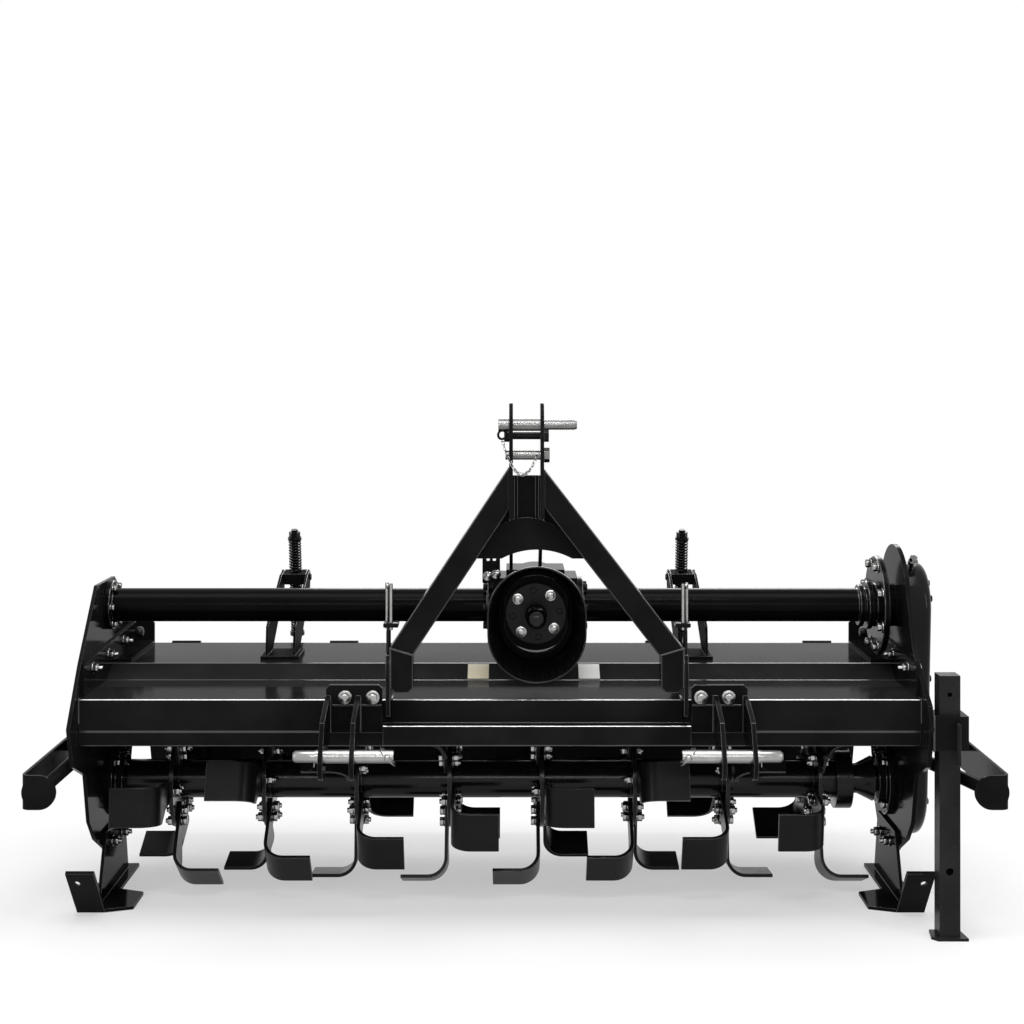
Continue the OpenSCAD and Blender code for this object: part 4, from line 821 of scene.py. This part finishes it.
links = []
for i in range(link_n):
    t = (i + 0.5) / link_n
    point = (1 - t) ** 2 * chain_start + 2 * t * (1 - t) * chain_pull + t ** 2 * chain_end
    way = (1 - t) * (chain_pull - chain_start) + t * (chain_end - chain_pull)
    links.append((point, way, quarter_turn * (i % 2)))
fitted(chain_link(*link_size), links, "mast_chain", "frame", zinc_plate)
fitted(chain_link(*ring_size), [(pin_ring, ring_way, quarter_turn)], "chain_ring", "frame", satin_black)

# Wings between the legs and the mast plates: two small triangles of thin sheet, cut and painted black.
# They are welded in behind the gusset, one on each side of the mast.
wing_face, wing_t = -0.281, 0.004
wings = {"left": ((-0.0130, 0.845), (-0.0130, 0.907), (-0.0540, 0.845)),
         "right": ((0.0610, 0.845), (0.1125, 0.845), (0.0610, 0.911))}


def cut_sheet(outline, face_y, thickness):
    """A flat sheet in the XZ plane: the outline's points from face_y back through the thickness."""
    bpy.ops.object.select_all(action="DESELECT")
    bpy.ops.mesh.primitive_circle_add(vertices=len(outline), fill_type="NGON")
    sheet = bpy.context.object
    for vertex, (x, z) in zip(sheet.data.vertices, outline):
        vertex.co = (x, face_y, z)
    bpy.ops.object.mode_set(mode="EDIT")
    bpy.ops.mesh.select_all(action="SELECT")
    bpy.ops.mesh.extrude_region_move(TRANSFORM_OT_translate={"value": (0, thickness, 0)})
    bpy.ops.mesh.select_all(action="SELECT")
    bpy.ops.mesh.normals_make_consistent(inside=False)
    bpy.ops.object.mode_set(mode="OBJECT")
    return sheet


for where, outline in wings.items():
    wing = cut_sheet(outline, wing_face, wing_t)
    dressed(rounded(wing, thin_edge), "mast_wing_" + where, "frame", gloss_black)

# Hooks over the A-frame's feet: a zinc wire hairpin that stands through a small black tab.
# The tab sits on a stem of bent round bar, welded to the foot lug.
bend_step = 15
hook_y = -0.300
hook_wire = 0.0038
hook_below = 0.006
hook_arm = 0.098
hook_bend = 0.010
hook_lean = (0.87, 0.49)
tab_z = 0.655
tab_size = (0.032, 0.044, 0.009)
tab_ahead = 0.012
tab_edge = 0.002
stem_wire = 0.005
stem_back = 0.010
stem_up = 0.004
stem_out = 0.010
stem_bend = 0.016
stem_drop = 0.046


def bent_wire(radius, start, way, moves, sides=12):
    """Round wire from start: each move is a straight length, or a bend of (radius, degrees, axis)."""
    at = Vector(start)
    way = Vector(way).normalized()
    bpy.ops.object.select_all(action="DESELECT")
    bpy.ops.mesh.primitive_circle_add(vertices=sides, radius=radius, fill_type="NGON", location=at,
                                      rotation=way.to_track_quat("Z", "Y").to_euler())
    wire = bpy.context.object
    bpy.ops.object.transform_apply()
    bpy.ops.object.mode_set(mode="EDIT")
    for move in moves:
        if isinstance(move, tuple):
            bend_r, degrees, axis = move
            axis = Vector(axis)
            middle = at + axis.cross(way) * bend_r
            turn = Matrix.Rotation(math.radians(degrees), 3, axis)
            bpy.ops.mesh.spin(steps=max(3, round(degrees / bend_step)), angle=math.radians(degrees),
                              center=middle, axis=axis)
            at = middle + turn @ (at - middle)
            way = turn @ way
        else:
            bpy.ops.mesh.extrude_region_move(TRANSFORM_OT_translate={"value": way * move})
            at = at + way * move
    bpy.ops.mesh.select_all(action="SELECT")
    bpy.ops.mesh.normals_make_consistent(inside=False)
    bpy.ops.object.mode_set(mode="OBJECT")
    return wire


for side, where in ((-1, "left"), (1, "right")):
    x = lug_xs[side]
    hook_axis = (-hook_lean[0], side * hook_lean[1], 0)
    hairpin = bent_wire(hook_wire, (x, hook_y, tab_z - hook_below), (0, 0, 1),
                        [hook_arm, (hook_bend, 180, hook_axis), hook_arm])
    dressed(hairpin, "hook_" + where, "frame", zinc_plate)
    tab = flat_plate((x - tab_size[0] / 2, hook_y - tab_ahead, tab_z), tab_size)
    dressed(rounded(tab, tab_edge), "hook_tab_" + where, "frame", gloss_black)
    stem = bent_wire(stem_wire, (x, hook_y + stem_back, tab_z + stem_up), (-side, 0, 0),
                     [stem_out, (stem_bend, 90, (0, -side, 0)), stem_drop])
    dressed(stem, "hook_stem_" + where, "frame", satin_black)

# Lower hitch: two welded clevises of steel plate, bolted on the beam and painted with it.
# Each carries a zinc-plated pin, which a split pin holds at one end and a linch pin at the other.
hitch_half = 0.4125
pin_y, pin_z = -0.430, 0.410
plate_face = -0.290
beam_face = -0.2795
clevis_edge = 0.0018
clevis_bolt_z = 0.504
clevis_bolt_ins = (0.004, 0.063)
large_head = 0.012
clevis_washer = 0.030
linch_in = 0.105
linch_outline = [(0.0035, -0.026), (0.0042, -0.022), (0.0042, 0.0165), (0.006, 0.0175),
                 (0.006, 0.0225), (0.004, 0.0245)]
linch_ring_size = (0.050, 0.048, 0.0032)
linch_lean = (0.64, 0.77)
split_wire = 0.0018
split_out = 0.0455
split_below = 0.010
split_leg = 0.012
split_bend = 0.004
split_spread = 40
split_tail = 0.022
ear_out = 0.032
ear_half = 0.005
ear_low, ear_high = 0.432, 0.504
plate_in = 0.030
plate_half = 0.052
plate_top = 0.487
beam_low = 0.447
corner_gap = 0.001
clevis_bead = 0.0026
angle_face = -0.2805
angle_half = 0.326
angle_bead = 0.0024
for clevis in ("clevis_left", "clevis_right"):
    softened(clevis, gloss_black, clevis_edge)
for pin in ("hitch_pin_left", "hitch_pin_right"):
    softened(pin, zinc_plate, thin_edge)
clevis_mids = {side: gear_x + side * hitch_half for side in (-1, 1)}
fitted(hex_bolt(large_across, large_head, clevis_washer),
       [((clevis_mids[side] - side * inset, plate_face, clevis_bolt_z), front_way)
        for side in (-1, 1) for inset in clevis_bolt_ins],
       "clevis_bolts", "frame", zinc_plate)

for side, where in ((-1, "left"), (1, "right")):
    linch_at = (clevis_mids[side] - side * linch_in, pin_y, pin_z)
    linch_way = (side * linch_lean[0], 0, linch_lean[1])
    linch = [fitted(turned(linch_outline), [(linch_at, front_way)], "linch_bolt", "frame", zinc_plate)]
    linch.append(fitted(chain_link(*linch_ring_size), [(linch_at, linch_way)], "linch_ring", "frame",
                        zinc_plate))
    only(*linch)
    bpy.ops.object.join()
    bpy.context.object.name = "linch_pin_" + where
    split_start = (clevis_mids[side] + side * split_out, pin_y, pin_z - split_below)
    split_pin = bent_wire(split_wire, split_start, (0, 0, -1),
                          [split_leg, (split_bend, split_spread, (0, -side, 0)), split_tail])
    dressed(split_pin, "split_pin_" + where, "frame", zinc_plate)

clevis_runs = []
for side in (-1, 1):
    for ear in (-1, 1):
        ear_x = clevis_mids[side] + ear * ear_out
        for face in (-ear_half, ear_half):
            clevis_runs.append(((ear_x + face, plate_face, ear_low), (ear_x + face, plate_face, ear_high)))
    plate_mid = clevis_mids[side] - side * plate_in
    clevis_runs.append(((plate_mid - plate_half, plate_face, plate_top),
                        (plate_mid + plate_half, plate_face, plate_top)))
for x in (left_in + corner_gap, right_in - corner_gap):
    clevis_runs.append(((x, beam_face, beam_low), (x, beam_face, beam_top)))
welded(clevis_runs, clevis_bead, "clevis_welds", edge_black)
welded([((gear_x - angle_half, angle_face, beam_low), (gear_x + angle_half, angle_face, beam_low))],
       angle_bead, "angle_weld", edge_black)

# Tailgate: bent sheet on a hinge rod, held down by two sprung rods that slide in swivelling blocks.
# The coil springs are drawn wire in satin black, and the lower ones ride on the rods with a mesh of their
# own.
rod_xs = [(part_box(fork)[0].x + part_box(fork)[1].x) / 2 for fork in ("fork_left", "fork_right")]
rod_foot = (0.412, 0.400)
pivot_at = (0.350, 0.680)
rod_way = Vector((0, pivot_at[0] - rod_foot[0], pivot_at[1] - rod_foot[1]))
rod_span = rod_way.length
rod_way.normalize()
block_half = 0.014
upper_len = 0.084
lower_len = 0.130
collar = rod_span - block_half - lower_len
coil_r = 0.01375
coil_wire = 0.00225
coil_pitch = 0.0074
coil_sides = 10
coil_steps = 28
sheet_edge = 0.001
fork_black = powder_coat("gloss_black", shade=0.007, roughness=0.45, gloss=0.004, peel=0.06, where="fork")
softened("tailgate", gloss_black, sheet_edge)
softened("hinge_rod", zinc_plate, thin_edge)
for carrier in ("hinge_lugs", "fork_left", "fork_right", "pivot_blocks"):
    softened(carrier, fork_black, sheet_edge)
softened("spring_rods", satin_black, thin_edge)


def coil(length):
    """Coil spring up +Z from the origin: a ring of wire swept round by a Screw modifier, ends closed."""
    turns = round(length / coil_pitch)
    bpy.ops.object.select_all(action="DESELECT")
    bpy.ops.mesh.primitive_circle_add(vertices=coil_sides, radius=coil_wire, location=(coil_r, 0, coil_wire),
                                      rotation=(quarter_turn, 0, 0))
    spring = bpy.context.object
    bpy.ops.object.transform_apply()
    sweep = spring.modifiers.new("sweep", "SCREW")
    sweep.iterations = turns
    sweep.screw_offset = (length - 2 * coil_wire) / turns
    sweep.steps = coil_steps
    sweep.render_steps = coil_steps
    bpy.ops.object.modifier_apply(modifier=sweep.name)
    bpy.ops.object.mode_set(mode="EDIT")
    bpy.ops.mesh.select_all(action="SELECT")
    bpy.ops.mesh.remove_doubles(threshold=merge_gap)
    bpy.ops.mesh.fill_holes(sides=0)
    bpy.ops.mesh.select_all(action="SELECT")
    bpy.ops.mesh.normals_make_consistent(inside=False)
    bpy.ops.object.mode_set(mode="OBJECT")
    return spring


def on_rods(distance):
    """Places along both spring rods at a distance from the tailgate's pin."""
    return [(Vector((x, *rod_foot)) + rod_way * distance, rod_way) for x in rod_xs]


upper_springs = fitted(coil(upper_len), on_rods(rod_span + block_half), "upper_coils", "pivots", satin_black)
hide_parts("springs_upper")
lower_springs = fitted(coil(lower_len), on_rods(collar), "lower_coils", "rods", satin_black)
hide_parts("springs_lower")
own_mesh(lower_springs)

# Parking stand: a square steel tube with a foot plate, painted black, that slides in a sleeve.
# The sleeve is welded to the right side plate, and a bent pin through both locks the stand.
sleeve_low, sleeve_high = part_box("stand_sleeve")
sleeve_edge = 0.002
sleeve_bead = 0.003
stand_edge = 0.0025
stand_steps = 3
stand_black = powder_coat("gloss_black", shade=0.016, roughness=0.28, gloss=0.06, peel=0.06, where="stand")
softened("stand_sleeve", gloss_black, sleeve_edge)
softened("stand_leg", stand_black, stand_edge, stand_steps)
softened("stand_pin", satin_black, thin_edge)
welded([((right_out, y, sleeve_low.z), (right_out, y, sleeve_high.z))
        for y in (sleeve_low.y, sleeve_high.y)],
       sleeve_bead, "sleeve_welds", edge_black)

# Skids and side guards: soles and rails of bent flat steel, painted with the machine.
# Four zinc bolts hold the skids to the side plates, and the guards stand out on round stays.
skid_t = 0.008
skid_bolts = [(0.000, 0.118), (0.100, 0.112)]
skid_washer = 0.026
skid_stud = 0.008
for rail in ("skid_left", "skid_right", "guard_left", "guard_right", "guard_stays_left",
             "guard_stays_right"):
    softened(rail, gloss_black, sheet_edge)
fitted(hex_bolt(large_across, large_head, skid_washer, skid_stud),
       [((left_in + skid_t, y, z), right_way) for y, z in skid_bolts]
       + [((right_in - skid_t, y, z), left_way) for y, z in skid_bolts],
       "skid_nuts", "frame", zinc_plate)
fitted(hex_bolt(large_across, large_head, skid_washer),
       [((left_out, y, z), left_way) for y, z in skid_bolts]
       + [((right_out, y, z), right_way) for y, z in skid_bolts],
       "skid_bolts", "frame", zinc_plate)
